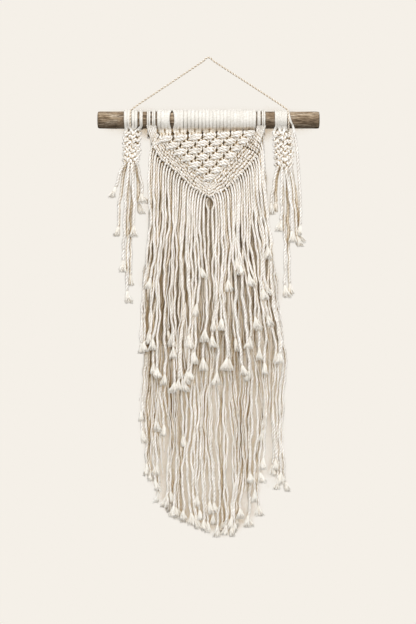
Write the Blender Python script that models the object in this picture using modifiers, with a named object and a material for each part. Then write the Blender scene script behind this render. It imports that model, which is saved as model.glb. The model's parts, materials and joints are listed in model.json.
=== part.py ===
"""A macrame wall hanging: cotton rope knotted over a driftwood rod, hung from a nail by a thin cord.

It has a net of square knots closed by a V of hitched bars, a front fringe that falls from the V, a longer
fringe lashed behind it, and a knotted tassel at each end of the rod. Metres, +Z up. The origin is the
point of the hanging cord that lies on the nail, +X is to the right and +Y is towards the wall.
"""

import math
import random

import bmesh
import bpy
from mathutils import Vector

MM = 0.001

# Rod: a peeled branch, a little thinner at its right end.
ROD_LENGTH = 400 * MM
ROD_RADIUS = 15.4 * MM
ROD_DROP = 111.6 * MM  # the rod's axis below the nail
ROD_SIDES = 20
ROD_RINGS = 7
ROD_TAPER = 0.04
ROD_LUMP = 0.3 * MM
ROD_END_ROUND = 3.0 * MM

# Rope. It lies flat where it is drawn round the rod, with a clearance that keeps the pieces apart.
CLEAR = 0.4 * MM
WRAP_THICK = 3.2 * MM
WRAP_STEPS = 12
WRAP_INNER = (ROD_RADIUS + CLEAR) / math.cos(math.pi / WRAP_STEPS)
WRAP_OUTER = WRAP_INNER + WRAP_THICK
WRAP_GROOVE = WRAP_OUTER - 0.9 * MM

# Depths, from the room (-Y) to the wall (+Y). Each fringe hangs in three rows, one behind another.
NET_Y = -9.3 * MM
BACK_Y = 8.3 * MM
ROW_AT_ROOT = 3.4 * MM
ROW_BELOW = 5.7 * MM
ROW_SETTLE = 20 * MM  # how far below its root a strand has moved into its row

# Net of square knots: a row of seven under the rod, then six, down to one.
NET_GAPS = (-90.4, -63.9, -37.1, -10.8, 14.6, 39.4, 61.8, 84.1)  # mm, where the first row's knots part
NET_ROWS = len(NET_GAPS) - 1
NET_ROW_DROP = 12.3 * MM
NET_TOP = -142.4 * MM
NET_TILT = 0.064  # the net hangs a little lower on the left
KNOT_DEEP = 6.0 * MM
KNOT_OUTLINE = (10.9, 11.0, 8.0)  # mm from the knot's middle at 0, 45 and 90 degrees
STRAP_DEEP = 2.2 * MM  # half its thickness

# The V of hitched rows: its outer and its inner edge, from left top round the tip to right top.
V_OUTER = (
    (-102, -155.5), (-85, -184.5), (-60, -204.5), (-28, -235), (2, -251.5),
    (32, -236.5), (64.5, -204.5), (87, -178), (94.5, -148),
)
V_INNER = (
    (-95.5, -142.5), (-79, -164.3), (-53.5, -184.9), (-19.2, -214.4), (2, -232.3),
    (19.6, -215), (43.5, -189.4), (66, -165.4), (87.5, -138),
)
V_HITCHES = 20  # on each side
V_ROWS = 4
V_DEEP = 6.3 * MM
V_GROOVE = 0.76
HITCH_PINCH = 0.84

# Where the wraps on the rod part and the wood shows, in the shape of an eye.
EYE_X = -65.7 * MM
EYE_HALF = 5.4 * MM
EYE_REACH = 15 * MM
PANEL_WRAPS = ((-92.2, -65.9, 2), (-65.5, 84.8, 12))  # mm: left edge, right edge, pairs of ropes

# Strands of the fringe: a square section of the rope's area, and a frayed tuft at the end.
STRAND_HALF = 2.7 * MM
TUFT_LONG = 16 * MM
TUFT_WIDE = 4.6 * MM
TUFT_DEEP = 2.75 * MM
BEND_STEP = 72 * MM
HIDDEN_STEP = 116 * MM
WAVES = ((2.1 * MM, 220 * MM), (0.8 * MM, 104 * MM))  # height and length of each sway
SWAY_FROM = 60 * MM
FLARE_LEFT = 18 * MM
FLARE_RIGHT = 35 * MM
FLARE_OVER = 480 * MM
FRONT_COUNT = 2 * V_HITCHES
BACK_COUNT = 42
BACK_BAR = ((-105 * MM, -138.0 * MM), (100.5 * MM, -133.6 * MM))  # its two ends
BACK_BAR_HALF = 3.6 * MM
BACK_WRAPS = ((-110.8, -104.4, 2), (-101.6, -95.4, 2), (88.0, 93.4, 2), (95.8, 102.2, 2))

# How low each fringe hangs, as (x, z) in mm along its hem.
FRONT_HEM = ((-105, -580), (-60, -600), (-44, -612), (0, -585), (40, -585), (80, -566), (105, -556))
BACK_HEM = (
    (-128, -640), (-118, -725), (-109, -762), (-94, -800), (-64, -826), (-30, -842), (-8, -857), (20, -863),
    (53, -857), (89, -835), (97, -805), (104, -752), (118, -752), (122, -778), (145, -778),
)

# Hanging cord: thin twisted cotton, a turn round the rod at each end.
HANGER_THICK = 2.6 * MM
HANGER_LEFT = -139.8 * MM
HANGER_RIGHT = 142.9 * MM
HANGER_DRIFT = 3.0 * MM
HANGER_CLEAR = 0.6 * MM
HANGER_STEPS = 18  # on each turn
HANGER_FREE_POINTS = 27
HANGER_LEFT_RUN = ((-136.6, -91.0), (-132, -87.2), (-120, -79), (-90, -59), (-60, -39), (-30, -19))
HANGER_AT_NAIL = ((-10, -5.6), (-4.2, -0.1), (0, 1.3), (4.2, -0.1), (10, -5.6))
HANGER_RIGHT_RUN = ((30, -18.6), (60, -38), (90, -57.5), (122, -78.5), (135, -87.2), (139.6, -90.8))

# Side tassels. Bands of wraps: left edge, right edge, ropes.
LEFT_WRAPS = ((-153.6, -144.9, 2), (-135.6, -128.0, 2), (-124.8, -118.0, 2))
RIGHT_WRAPS = ((116.5, 124.0, 2), (124.5, 131.8, 2), (132.2, 138.8, 2))
# Knots: x, z, half width, half height.
LEFT_KNOTS = (
    (-145.5, -139.5, 8.0, 9.0), (-128.5, -139.5, 8.0, 9.0), (-137.2, -155.5, 17.5, 8.4),
    (-146.0, -170.5, 9.0, 8.0), (-128.0, -170.0, 9.2, 8.2), (-137.0, -184.0, 12.5, 8.5),
)
RIGHT_KNOTS = (
    (122.5, -139.5, 8.0, 9.0), (139.0, -139.5, 8.0, 9.0), (131.5, -155.5, 18.0, 8.6),
    (123.0, -171.0, 9.0, 8.0), (141.0, -171.0, 9.0, 8.0), (133.0, -186.0, 13.0, 8.6),
)
# Tails: x at the root, z at the root, x halfway, x at the end, z at the end, row.
LEFT_TAILS = (
    (-148.0, -178, -165.0, -169.5, -250, 0), (-144.0, -186, -160.0, -164.0, -321, 1),
    (-141.0, -188, -153.0, -153.5, -383, -1), (-137.0, -189, -146.0, -146.5, -437, 0),
    (-134.0, -189, -140.5, -141.0, -408, 1), (-131.0, -187, -134.5, -133.5, -320, -1),
    (-127.5, -184, -123.5, -127.0, -279, 1), (-125.0, -176, -117.5, -120.5, -262, 0),
)
RIGHT_TAILS = (
    (122.0, -178, 113.0, 113.5, -279, 0), (126.0, -186, 120.0, 121.0, -277, 1),
    (129.5, -190, 130.0, 130.5, -310, -1), (133.0, -191, 138.0, 138.5, -427, 0),
    (137.0, -190, 144.5, 145.5, -424, 1), (140.0, -186, 150.0, 151.5, -330, -1),
    (143.5, -180, 156.0, 159.0, -338, 0), (146.0, -174, 160.0, 164.5, -333, 1),
)
TASSEL_Y = -4.0 * MM
TASSEL_DEEP = 5.6 * MM
TAIL_STEP = 44 * MM

COTTON = ((0.84, 0.80, 0.72, 1.0), 0.95)
TWINE = ((0.80, 0.74, 0.63, 1.0), 0.95)
DRIFTWOOD = ((0.30, 0.22, 0.15, 1.0), 0.85)


# Scene, materials and objects


def clear_scene():
    for old in list(bpy.data.objects):
        bpy.data.objects.remove(old)


def material(name, look):
    colour, roughness = look
    made = bpy.data.materials.new(name)
    made.use_nodes = True
    shader = made.node_tree.nodes["Principled BSDF"]
    shader.inputs["Base Color"].default_value = colour
    shader.inputs["Roughness"].default_value = roughness
    shader.inputs["Metallic"].default_value = 0.0
    return made


def collection(name):
    made = bpy.data.collections.new(name)
    bpy.context.scene.collection.children.link(made)
    return made


def add_object(name, mesh, into, finish=None):
    made = bpy.data.objects.new(name, mesh)
    into.objects.link(made)
    if finish:
        mesh.materials.clear()
        mesh.materials.append(finish)
    return made


def mesh_of(name, bm):
    bmesh.ops.recalc_face_normals(bm, faces=bm.faces)
    mesh = bpy.data.meshes.new(name)
    bm.to_mesh(mesh)
    bm.free()
    return mesh


def evaluated_mesh(obj):
    graph = bpy.context.evaluated_depsgraph_get()
    return bpy.data.meshes.new_from_object(obj.evaluated_get(graph))


def fuse(name, pieces, finish, into):
    """Boolean union of closed meshes that overlap, as one object."""
    bm = bmesh.new()
    for mesh in pieces[1:]:
        bm.from_mesh(mesh)
    rest = add_object(name + "_rest", mesh_of(name + "_rest", bm), into)
    body = add_object(name, pieces[0], into)
    union = body.modifiers.new("Fuse", "BOOLEAN")
    union.operation = "UNION"
    union.solver = "EXACT"
    union.use_self = True
    union.object = rest
    joined = evaluated_mesh(body)
    bpy.data.objects.remove(body)
    bpy.data.objects.remove(rest)
    return add_object(name, joined, into, finish)


def loft(name, rings):
    """A closed solid through rings of equally many points, capped at both ends."""
    bm = bmesh.new()
    loops = [[bm.verts.new(point) for point in ring] for ring in rings]
    sides = len(rings[0])
    for lower, upper in zip(loops, loops[1:]):
        for corner in range(sides):
            after = (corner + 1) % sides
            bm.faces.new((lower[corner], lower[after], upper[after], upper[corner]))
    bm.faces.new(loops[0])
    bm.faces.new(loops[-1])
    return mesh_of(name, bm)


def tapered_bar(name, ends):
    """A flat bar of rope between two ends, each given as x, y, z, half width and half thickness."""
    rings = []
    for x, y, z, wide, deep in ends:
        rings.append([(x - wide, y - deep, z), (x + wide, y - deep, z), (x + wide, y + deep, z), (x - wide, y + deep, z)])
    return loft(name, rings)


def between(table, x):
    """The second column of a table of (x, value), read at x along straight lines."""
    for (x0, v0), (x1, v1) in zip(table, table[1:]):
        if x <= x1:
            return v0 + (v1 - v0) * max(0.0, (x - x0) / (x1 - x0))
    return table[-1][1]


# Rod


def build_rod(finish, into):
    bm = bmesh.new()
    bmesh.ops.create_cone(
        bm, cap_ends=True, segments=ROD_SIDES, radius1=ROD_RADIUS, radius2=ROD_RADIUS, depth=ROD_LENGTH
    )
    long_edges = [e for e in bm.edges if abs(e.verts[0].co.z - e.verts[1].co.z) > ROD_LENGTH / 2]
    bmesh.ops.subdivide_edges(bm, edges=long_edges, cuts=ROD_RINGS)
    for vert in bm.verts:
        along, around = vert.co.z, math.atan2(vert.co.y, vert.co.x)
        lump = ROD_LUMP * math.sin(along * 52 + 2 * around) * math.sin(along * 23 + around)
        shrink = 1 - ROD_TAPER * max(0.0, along / ROD_LENGTH) - abs(lump) / ROD_RADIUS
        vert.co.x *= shrink
        vert.co.y *= shrink
    rod = add_object("rod", mesh_of("rod", bm), into, finish)
    rod.rotation_euler.y = math.pi / 2
    rod.location.z = -ROD_DROP
    bevel = rod.modifiers.new("Worn ends", "BEVEL")
    bevel.width = ROD_END_ROUND
    bevel.segments = 2
    bevel.limit_method = "ANGLE"
    bevel.angle_limit = math.radians(60)
    rod.data.shade_smooth()
    return rod


# Wraps on the rod


def wrap_band(left, right, ropes):
    """Ropes side by side round the rod: a ridged ring, turned about the rod's axis."""
    pitch = (right - left) / ropes
    outer = [(left, WRAP_GROOVE)]
    for rope in range(ropes):
        outer.append((left + (rope + 0.5) * pitch, WRAP_OUTER))
        outer.append((left + (rope + 1) * pitch, WRAP_GROOVE))
    profile = outer + [(right, WRAP_INNER), (left, WRAP_INNER)]
    mesh = bpy.data.meshes.new("wraps")
    edges = [(i, (i + 1) % len(profile)) for i in range(len(profile))]
    mesh.from_pydata([(x, 0, radius) for x, radius in profile], edges, [])
    ring = add_object("wraps", mesh, bpy.context.scene.collection)
    screw = ring.modifiers.new("Turn", "SCREW")
    screw.axis = "X"
    screw.steps = screw.render_steps = WRAP_STEPS
    screw.use_merge_vertices = True
    screw.merge_threshold = 0.01 * MM
    turned = evaluated_mesh(ring)
    bpy.data.objects.remove(ring)
    bm = bmesh.new()
    bm.from_mesh(turned)
    for vert in bm.verts:
        vert.co.x += eye_bow(vert.co.x, vert.co.y)
        vert.co.z -= ROD_DROP
    return mesh_of("wraps", bm)


def eye_bow(x, y):
    """How far a wrap beside the eye bows away from it, most at the front of the rod."""
    front = max(0.0, -y / WRAP_OUTER) ** 1.5
    near = max(0.0, 1 - abs(x - EYE_X) / EYE_REACH)
    return math.copysign(EYE_HALF * front * near, x - EYE_X)


# Knots


def knot(x, y, z, wide, high, deep):
    """A square knot: a lozenge of rope with a groove between its upper and its lower turn."""
    bm = bmesh.new()
    bmesh.ops.create_uvsphere(bm, u_segments=8, v_segments=4, radius=1)
    flank, corner, top = KNOT_OUTLINE
    outline = (flank, corner, top, corner)
    for vert in bm.verts:
        across, up, out = vert.co.x, vert.co.y, vert.co.z
        turn = math.degrees(math.atan2(up, across)) % 180
        reach = outline[round(turn / 45) % 4]
        ridge = 0.86 + 0.3 * abs(up)
        vert.co = (
            x + across * reach * wide / flank,
            y - out * deep * ridge,
            z + up * reach * high / top,
        )
    return mesh_of("knot", bm)


def gap_at(place):
    """Where the net's knots part, in mm, at a whole or half place along its first row."""
    low = min(int(place), NET_ROWS - 1)
    return NET_GAPS[low] + (NET_GAPS[low + 1] - NET_GAPS[low]) * (place - low)


def net_knots():
    """Row, middle and width of each knot of the net."""
    for row in range(NET_ROWS):
        for column in range(NET_ROWS - row):
            place = column + (row + 1) / 2
            x = gap_at(place) * MM
            wide = (gap_at(place + 0.5) - gap_at(place - 0.5)) * MM
            yield row, x, NET_TOP - row * NET_ROW_DROP + NET_TILT * x, wide


def build_panel(finish, into):
    """Wraps, straps and net of square knots: the ropes of the front of the hanging."""
    pieces = [wrap_band(left * MM, right * MM, ropes) for left, right, ropes in PANEL_WRAPS]
    for row, x, z, wide in net_knots():
        pieces.append(knot(x, NET_Y, z, 0.435 * wide, KNOT_OUTLINE[2] * MM, KNOT_DEEP))
        if row > 0:
            continue
        top = (x, NET_Y - 1.5 * MM, -ROD_DROP - 14 * MM, 0.44 * wide, STRAP_DEEP)
        foot = (x, NET_Y, z, 0.36 * wide, STRAP_DEEP)
        pieces.append(tapered_bar("strap", (top, foot)))
    return fuse("knotted_panel", pieces, finish, into)


# Strands


def strand_rings(points):
    """Four-sided rings on a strand's path: thin in its root, and opening into a tuft at its end."""
    rings = []
    for index, (x, y, z) in enumerate(points):
        wide = deep = STRAND_HALF
        if index == 0:
            wide = deep = 0.5 * STRAND_HALF
        if index == len(points) - 2:
            wide = deep = 0.85 * STRAND_HALF
        if index == len(points) - 1:
            wide, deep = TUFT_WIDE, TUFT_DEEP
        rings.append([(x + wide, y, z), (x, y + deep, z), (x - wide, y, z), (x, y - deep, z)])
    return rings


def plan_strand(draw, x, z, out, row, end):
    """What is particular to one strand of a fringe: its root, its row, its end and its sway."""
    phases = [draw.uniform(0, 2 * math.pi) for _ in WAVES]
    share = draw.uniform(0.55, 1.0)
    return {"x": x, "z": z, "out": out, "row": row, "end": end, "phases": phases, "share": share}


def flare(x, drop):
    """How far outward a strand has spread, a given height below its root."""
    most = FLARE_RIGHT if x > 0 else FLARE_LEFT
    return most * x / (100 * MM) * (1 - math.cos(math.pi * min(1, drop / FLARE_OVER))) / 2


def strand_point(plan, middle_y, drop):
    """Where a strand is, a given height below its root."""
    sway = sum(
        high * math.sin(2 * math.pi * drop / length + phase)
        for (high, length), phase in zip(WAVES, plan["phases"])
    )
    grown = 1 - math.exp(-((drop / SWAY_FROM) ** 2))
    bulge = plan["out"] * (1 - math.exp(-drop / (5 * MM)))
    settled = 1 - math.exp(-drop / ROW_SETTLE)
    depth = ROW_AT_ROOT + (ROW_BELOW - ROW_AT_ROOT) * settled
    x = plan["x"] + bulge + flare(plan["x"], drop) + plan["share"] * grown * sway
    return x, middle_y + plan["row"] * depth, plan["z"] - drop


def v_point(share, inward):
    """A point of the V: share 0 to 1 from its left top round the tip, inward 0 to 1 from its outer edge."""
    place = share * (len(V_OUTER) - 1)
    low = min(int(place), len(V_OUTER) - 2)
    outer = Vector(V_OUTER[low]).lerp(Vector(V_OUTER[low + 1]), place - low)
    inner = Vector(V_INNER[low]).lerp(Vector(V_INNER[low + 1]), place - low)
    return outer.lerp(inner, inward) * MM


def front_plans():
    draw = random.Random(11)
    plans = []
    for index in range(FRONT_COUNT):
        side = -1 if index < V_HITCHES else 1
        x, z = v_point((index + 0.5) / FRONT_COUNT, 0.0)
        lift = draw.triangular(0, 190, 40) * MM
        end = between(FRONT_HEM, x / MM) * MM + lift
        plans.append(plan_strand(draw, x, z, side * 2.2 * MM, (index % 3) - 1, end))
    return plans


def back_plans():
    draw = random.Random(29)
    plans = []
    for index in range(BACK_COUNT):
        x, z = Vector(BACK_BAR[0]).lerp(Vector(BACK_BAR[1]), (index + 0.5) / BACK_COUNT)
        lift = draw.choice((0, 0, 6, 18, 40, 75)) * MM
        end = between(BACK_HEM, (x + flare(x, FLARE_OVER)) / MM) * MM + lift
        plans.append(plan_strand(draw, x, z, 0, (index % 3) - 1, end))
    return plans


def bend_drops(plan, hidden_to):
    """The heights below the root at which a strand gets a ring: wide apart where the front fringe hides it."""
    total = plan["z"] - plan["end"]
    last = total - TUFT_LONG
    drops = [6 * MM, 22 * MM]
    while drops[-1] < last - 1.4 * BEND_STEP:
        hidden = plan["z"] - drops[-1] > hidden_to
        drops.append(drops[-1] + (HIDDEN_STEP if hidden else BEND_STEP))
    if drops[-1] > last - 0.3 * BEND_STEP:
        drops.pop()
    return drops + [last, total]


def v_rings():
    """Sections of the V, from its left top round the tip to its right top, pinched between hitches."""
    section = [(0.0, 0.0)]
    for row in range(V_ROWS):
        section.append(((row + 0.5) / V_ROWS, -V_DEEP))
        if row < V_ROWS - 1:
            section.append(((row + 1) / V_ROWS, -V_GROOVE * V_DEEP))
    section += [(1.0, 0.0), (0.5, V_DEEP)]
    rings = []
    count = 4 * V_HITCHES
    for index in range(count + 1):
        pinch = HITCH_PINCH if index % 2 == 0 else 1.0
        ring = []
        for inward, depth in section:
            x, z = v_point(index / count, 0.5 + (inward - 0.5) * (0.6 + 0.4 * pinch))
            ring.append((x, NET_Y + depth * pinch, z))
        rings.append(ring)
    return rings


def build_front_fringe(finish, into):
    """The V of hitched bars, and the strands that fall from its outer edge."""
    pieces = [loft("v_bars", v_rings())]
    for index, plan in enumerate(front_plans()):
        x, z = v_point((index + 0.5) / FRONT_COUNT, 0.2)
        points = [(x, NET_Y + 0.8 * plan["row"] * ROW_AT_ROOT, z)]
        points += [strand_point(plan, NET_Y, drop) for drop in bend_drops(plan, 0)]
        pieces.append(loft("strand", strand_rings(points)))
    return fuse("front_fringe", pieces, finish, into)


def build_back_fringe(finish, into):
    """A bar behind the net, lashed to the rod at both ends, and the longer fringe that hangs from it."""
    left, right = Vector(BACK_BAR[0]), Vector(BACK_BAR[1])
    rings = []
    for end in (left, right):
        corners = [math.radians(60 * corner) for corner in range(6)]
        rings.append(
            [(end.x, BACK_Y + BACK_BAR_HALF * math.cos(turn), end.y + BACK_BAR_HALF * math.sin(turn)) for turn in corners]
        )
    pieces = [loft("bar", rings)]
    for band_left, band_right, ropes in BACK_WRAPS:
        pieces.append(wrap_band(band_left * MM, band_right * MM, ropes))
        middle = (band_left + band_right) / 2 * MM
        inside = min(max(middle, left.x + 4 * MM), right.x - 4 * MM)
        top = (middle, 6.0 * MM, -ROD_DROP - 15.6 * MM, 2.6 * MM, 2.0 * MM)
        foot = (inside, BACK_Y - 0.6 * MM, (left.y + right.y) / 2, 2.6 * MM, 2.0 * MM)
        pieces.append(tapered_bar("lashing", (top, foot)))
    for plan in back_plans():
        points = [(plan["x"], BACK_Y + 0.4 * plan["row"] * ROW_AT_ROOT, plan["z"])]
        points += [strand_point(plan, BACK_Y, drop) for drop in bend_drops(plan, -430 * MM)]
        pieces.append(loft("strand", strand_rings(points)))
    return fuse("back_fringe", pieces, finish, into)


# Side tassels


def tail_rings(tail, seed):
    """A tail of a side tassel: bowed from its root to the place it hangs in."""
    x_root, z_root, x_half, x_end, z_end, row = tail
    phase = random.Random(seed).uniform(0, 2 * math.pi)
    long = (z_root - z_end) * MM
    tuft = TUFT_LONG / long
    count = max(3, round((long - TUFT_LONG) / TAIL_STEP))
    shares = [index * (1 - tuft) / count for index in range(count + 1)] + [1.0]
    points = []
    for share in shares:
        bow = 1 - (1 - share) ** 2.2
        x = x_root + (x_half - x_root) * bow + (x_end - x_half) * share
        x += 0.9 * math.sin(9 * share + phase) * share
        y = TASSEL_Y / MM + row * (2.5 + 3.4 * min(1, 4 * share))
        points.append((x * MM, y * MM, z_root * MM - share * long))
    return strand_rings(points)


def build_tassel(name, wraps, knots, tails, finish, into):
    """A side tassel: wraps on the rod, a strip of knots, and loose tails."""
    pieces = []
    for left, right, ropes in wraps:
        pieces.append(wrap_band(left * MM, right * MM, ropes))
        middle = (left + right) / 2 * MM
        pieces.append(tassel_strap(middle, (right - left) / 2 * MM, knots))
    for x, z, wide, high in knots:
        pieces.append(knot(x * MM, TASSEL_Y, z * MM, wide * MM, high * MM, TASSEL_DEEP))
    for seed, tail in enumerate(tails):
        pieces.append(loft("tail", tail_rings(tail, seed)))
    return fuse(name, pieces, finish, into)


def tassel_strap(x_top, half, knots):
    """The ropes of one band of wraps, drawn in to the nearer of the first two knots."""
    nearest = min(knots[:2], key=lambda item: abs(item[0] * MM - x_top))
    x_bottom = nearest[0] * MM + 0.35 * (x_top - nearest[0] * MM)
    top = (x_top, -6.0 * MM, -ROD_DROP - 15.4 * MM, 0.9 * half, 1.6 * MM)
    foot = (x_bottom, TASSEL_Y, nearest[1] * MM, 0.7 * half, 1.6 * MM)
    return tapered_bar("strap", (top, foot))


# Hanging cord


def rod_turn(x, drift):
    """The hanging cord's turn round the rod, from the top over the front and almost back to the top."""
    radius = ROD_RADIUS + HANGER_CLEAR + HANGER_THICK / 2
    points = []
    for step in range(HANGER_STEPS):
        share = step / HANGER_STEPS
        angle = 2 * math.pi * share
        points.append(
            Vector((x + drift * share, -radius * math.sin(angle), -ROD_DROP + radius * math.cos(angle)))
        )
    return points


def smooth_line(points, count):
    """A smooth curve through the points, read at even distances."""
    fine = []
    padded = [points[0], *points, points[-1]]
    for p0, p1, p2, p3 in zip(padded, padded[1:], padded[2:], padded[3:]):
        for step in range(16):
            t = step / 16
            fine.append(
                0.5 * ((2 * p1) + (p2 - p0) * t + (2 * p0 - 5 * p1 + 4 * p2 - p3) * t**2
                       + (3 * p1 - p0 - 3 * p2 + p3) * t**3)
            )
    fine.append(points[-1])
    along = [0.0]
    for a, b in zip(fine, fine[1:]):
        along.append(along[-1] + (b - a).length)
    line, at = [], 0
    for index in range(count):
        want = along[-1] * index / (count - 1)
        while at < len(fine) - 2 and along[at + 1] < want:
            at += 1
        share = (want - along[at]) / max(along[at + 1] - along[at], 1e-9)
        line.append(fine[at].lerp(fine[at + 1], min(1.0, share)))
    return line


def hanger_route():
    """Left turn round the rod, up to the nail, and down to the right turn."""
    left = rod_turn(HANGER_LEFT, -HANGER_DRIFT)[::-1]
    right = rod_turn(HANGER_RIGHT, HANGER_DRIFT)
    nail = [Vector((x, 0, z)) * MM for x, z in HANGER_AT_NAIL]
    run = [left[-1], *(Vector((x, 0, z)) * MM for x, z in HANGER_LEFT_RUN), *nail]
    run += [*(Vector((x, 0, z)) * MM for x, z in HANGER_RIGHT_RUN), right[0]]
    return left[:-1] + smooth_line(run, HANGER_FREE_POINTS) + right[1:]


def build_hanger(finish, into):
    curve = bpy.data.curves.new("hanger_cord", "CURVE")
    curve.dimensions = "3D"
    curve.bevel_depth = HANGER_THICK / 2
    curve.bevel_resolution = 2
    curve.use_fill_caps = True
    line = hanger_route()
    spline = curve.splines.new("POLY")
    spline.points.add(len(line) - 1)
    for point, place in zip(spline.points, line):
        point.co = (*place, 1.0)
    return add_object("hanger_cord", curve, into, finish)


def main():
    clear_scene()
    into = collection("macrame_wall_hanging")
    cotton = material("cotton rope", COTTON)
    build_rod(material("driftwood", DRIFTWOOD), into)
    build_panel(cotton, into)
    build_front_fringe(cotton, into)
    build_back_fringe(cotton, into)
    build_tassel("left_tassel", LEFT_WRAPS, LEFT_KNOTS, LEFT_TAILS, cotton, into)
    build_tassel("right_tassel", RIGHT_WRAPS, RIGHT_KNOTS, RIGHT_TAILS, cotton, into)
    build_hanger(material("twisted cord", TWINE), into)


main()
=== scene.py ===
# %% [markdown]
# # A macrame wall hanging, knotted rope by rope
#
# Macrame is rope and knots and nothing else. Each rope here is a swept tube with the cross-section of
# three plies, turned along its length so that the plies wind round each other. The knots are not
# sculpted: a rope simply takes the path it takes in the real knot. Sizes are in metres, +Z is up, the
# wall is on the +Y side, and the origin is the point of the cord that lies on the nail.

# %% Load the frame
import json
import math
import random

import bmesh
import bpy
import numpy as np
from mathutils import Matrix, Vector

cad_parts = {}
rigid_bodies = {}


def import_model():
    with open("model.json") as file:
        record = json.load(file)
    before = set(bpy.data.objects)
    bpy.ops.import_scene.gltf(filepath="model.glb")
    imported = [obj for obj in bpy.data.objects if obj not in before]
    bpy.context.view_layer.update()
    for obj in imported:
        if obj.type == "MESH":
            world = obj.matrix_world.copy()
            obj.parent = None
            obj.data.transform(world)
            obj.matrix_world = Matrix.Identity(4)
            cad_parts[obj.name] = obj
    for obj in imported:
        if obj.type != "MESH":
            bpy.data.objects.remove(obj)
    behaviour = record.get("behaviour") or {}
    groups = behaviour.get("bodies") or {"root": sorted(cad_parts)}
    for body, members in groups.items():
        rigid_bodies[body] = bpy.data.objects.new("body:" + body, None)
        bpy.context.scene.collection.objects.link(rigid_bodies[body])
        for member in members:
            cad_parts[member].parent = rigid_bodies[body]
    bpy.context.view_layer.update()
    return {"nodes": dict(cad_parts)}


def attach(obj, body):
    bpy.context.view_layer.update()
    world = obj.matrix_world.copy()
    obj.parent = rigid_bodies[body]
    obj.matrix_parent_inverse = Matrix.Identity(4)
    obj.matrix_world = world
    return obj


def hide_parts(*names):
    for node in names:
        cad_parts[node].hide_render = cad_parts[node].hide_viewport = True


for left_over in list(bpy.data.objects):  # the cube, lamp and camera that a new file starts with
    bpy.data.objects.remove(left_over)
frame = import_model()
MM = 0.001
print("solids:", ", ".join(sorted(frame["nodes"])))

# %% [markdown]
# ## Measures
#
# The driving sizes are the maker's: a 400 mm rod, 5 mm three-ply rope, and a net whose first row parts
# at known places. The depths are set out from the room (-Y) to the wall (+Y).

# %% Rod, net and fringe sizes
ROD_LENGTH = 400 * MM
ROD_RADIUS = 15.4 * MM
ROD_DROP = 111.6 * MM
ROPE_RADIUS = 2.8 * MM
ROPE_LAY = 20 * MM  # one full turn of the three plies
RING_STEP = 2.2 * MM  # a ring of the tube every ninth of a turn

NET_Y = -9.3 * MM  # the middle of the net and of the front fringe
BACK_Y = 8.3 * MM  # the middle of the back fringe
NET_GAPS = (-90.4, -63.9, -37.1, -10.8, 14.6, 39.4, 61.8, 84.1)  # mm, where the first row's knots part
NET_ROWS = len(NET_GAPS) - 1
NET_ROW_DROP = 12.3 * MM
NET_TOP = -142.4 * MM
NET_TILT = 0.064  # the rows of knots climb to the right

# Strands hang in rows, one behind another. The rows are this far apart at their knots, and then below.
ROW_AT_ROOT = 3.4 * MM
ROW_BELOW = 5.7 * MM
ROW_SETTLE = 20 * MM  # the drop over which the one distance goes over into the other
print("rod", ROD_LENGTH / MM, "mm, rope", 2 * ROPE_RADIUS / MM, "mm, lay", ROPE_LAY / MM, "mm")

# %% [markdown]
# ## The section of a rope
#
# Three plies lie against each other, so the section has three rounded lobes with a groove between each
# pair. It is one closed curve of nine points. Blender sweeps it along any path as a bevel object, and
# the tilt of the path's points turns it, which lays the plies up into rope.

# %% Rope section
PLIES = 3
GROOVE = 0.74  # depth of the groove, as a share of the rope's radius
LOBE = ((-60, GROOVE), (-21, 0.97), (21, 0.97))  # degrees from the middle of a ply, share of the radius


def section_curve(name, corners):
    """A closed flat curve of unit size, to sweep along a path."""
    data = bpy.data.curves.new(name, "CURVE")
    data.dimensions = "2D"
    spline = data.splines.new("POLY")
    spline.points.add(len(corners) - 1)
    for point, (angle, radius) in zip(spline.points, corners):
        point.co = (radius * math.cos(angle), radius * math.sin(angle), 0, 1)
    spline.use_cyclic_u = True
    return bpy.data.objects.new(name, data)


ROPE_CORNERS = [
    (math.radians(120 * ply + degrees), share) for ply in range(PLIES) for degrees, share in LOBE
]
YARN_CORNERS = [(math.radians(120 * corner), 1.0) for corner in range(3)]
rope_section = section_curve("rope_section", ROPE_CORNERS)
yarn_section = section_curve("yarn_section", YARN_CORNERS)
print("rope section:", len(ROPE_CORNERS), "points")

# %% [markdown]
# ## Sweeping ropes
#
# A rope is given as the few points that its path bends through. `smooth` runs a Catmull-Rom curve
# through them and reads it at an even step. `sweep` then makes one object out of many ropes: a spline
# for each, with its tilt and its thickness at every point, swept and turned into a mesh. Each vertex
# also keeps its place in the straight rope, so that a pattern can follow the fibres round every bend.

# %% Smooth paths
FINE_STEPS = 12  # on the curve between two points


def smooth(points, step=RING_STEP):
    """Places and thicknesses at an even step along a smooth curve through (place, thickness) points."""
    knots = np.array([[*place, thick] for place, thick in points], float)
    padded = np.vstack([2 * knots[0] - knots[1], knots, 2 * knots[-1] - knots[-2]])
    fine = []
    for p0, p1, p2, p3 in zip(padded, padded[1:], padded[2:], padded[3:]):
        t = np.linspace(0, 1, FINE_STEPS + 1)[:-1, None]
        fine.append(
            0.5 * (2 * p1 + (p2 - p0) * t + (2 * p0 - 5 * p1 + 4 * p2 - p3) * t**2
                   + (3 * p1 - p0 - 3 * p2 + p3) * t**3)
        )
    fine = np.vstack([*fine, knots[-1:]])
    along = np.concatenate([[0], np.cumsum(np.linalg.norm(np.diff(fine[:, :3], axis=0), axis=1))])
    count = max(3, round(along[-1] / step) + 1)
    want = np.linspace(0, along[-1], count)
    return np.stack([np.interp(want, along, fine[:, axis]) for axis in range(4)], axis=1)


print("a rope ring every", RING_STEP / MM, "mm")

# %% Swept ropes
TIP = 0.02  # a rope's thickness at its very end, before the end is closed
MERGE = 0.05  # what lies closer than this at an end, as a share of the radius, becomes one point
PATTERN_SHIFT = 0.37  # metres along the pattern from one rope to the next, so that no two are alike


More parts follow.
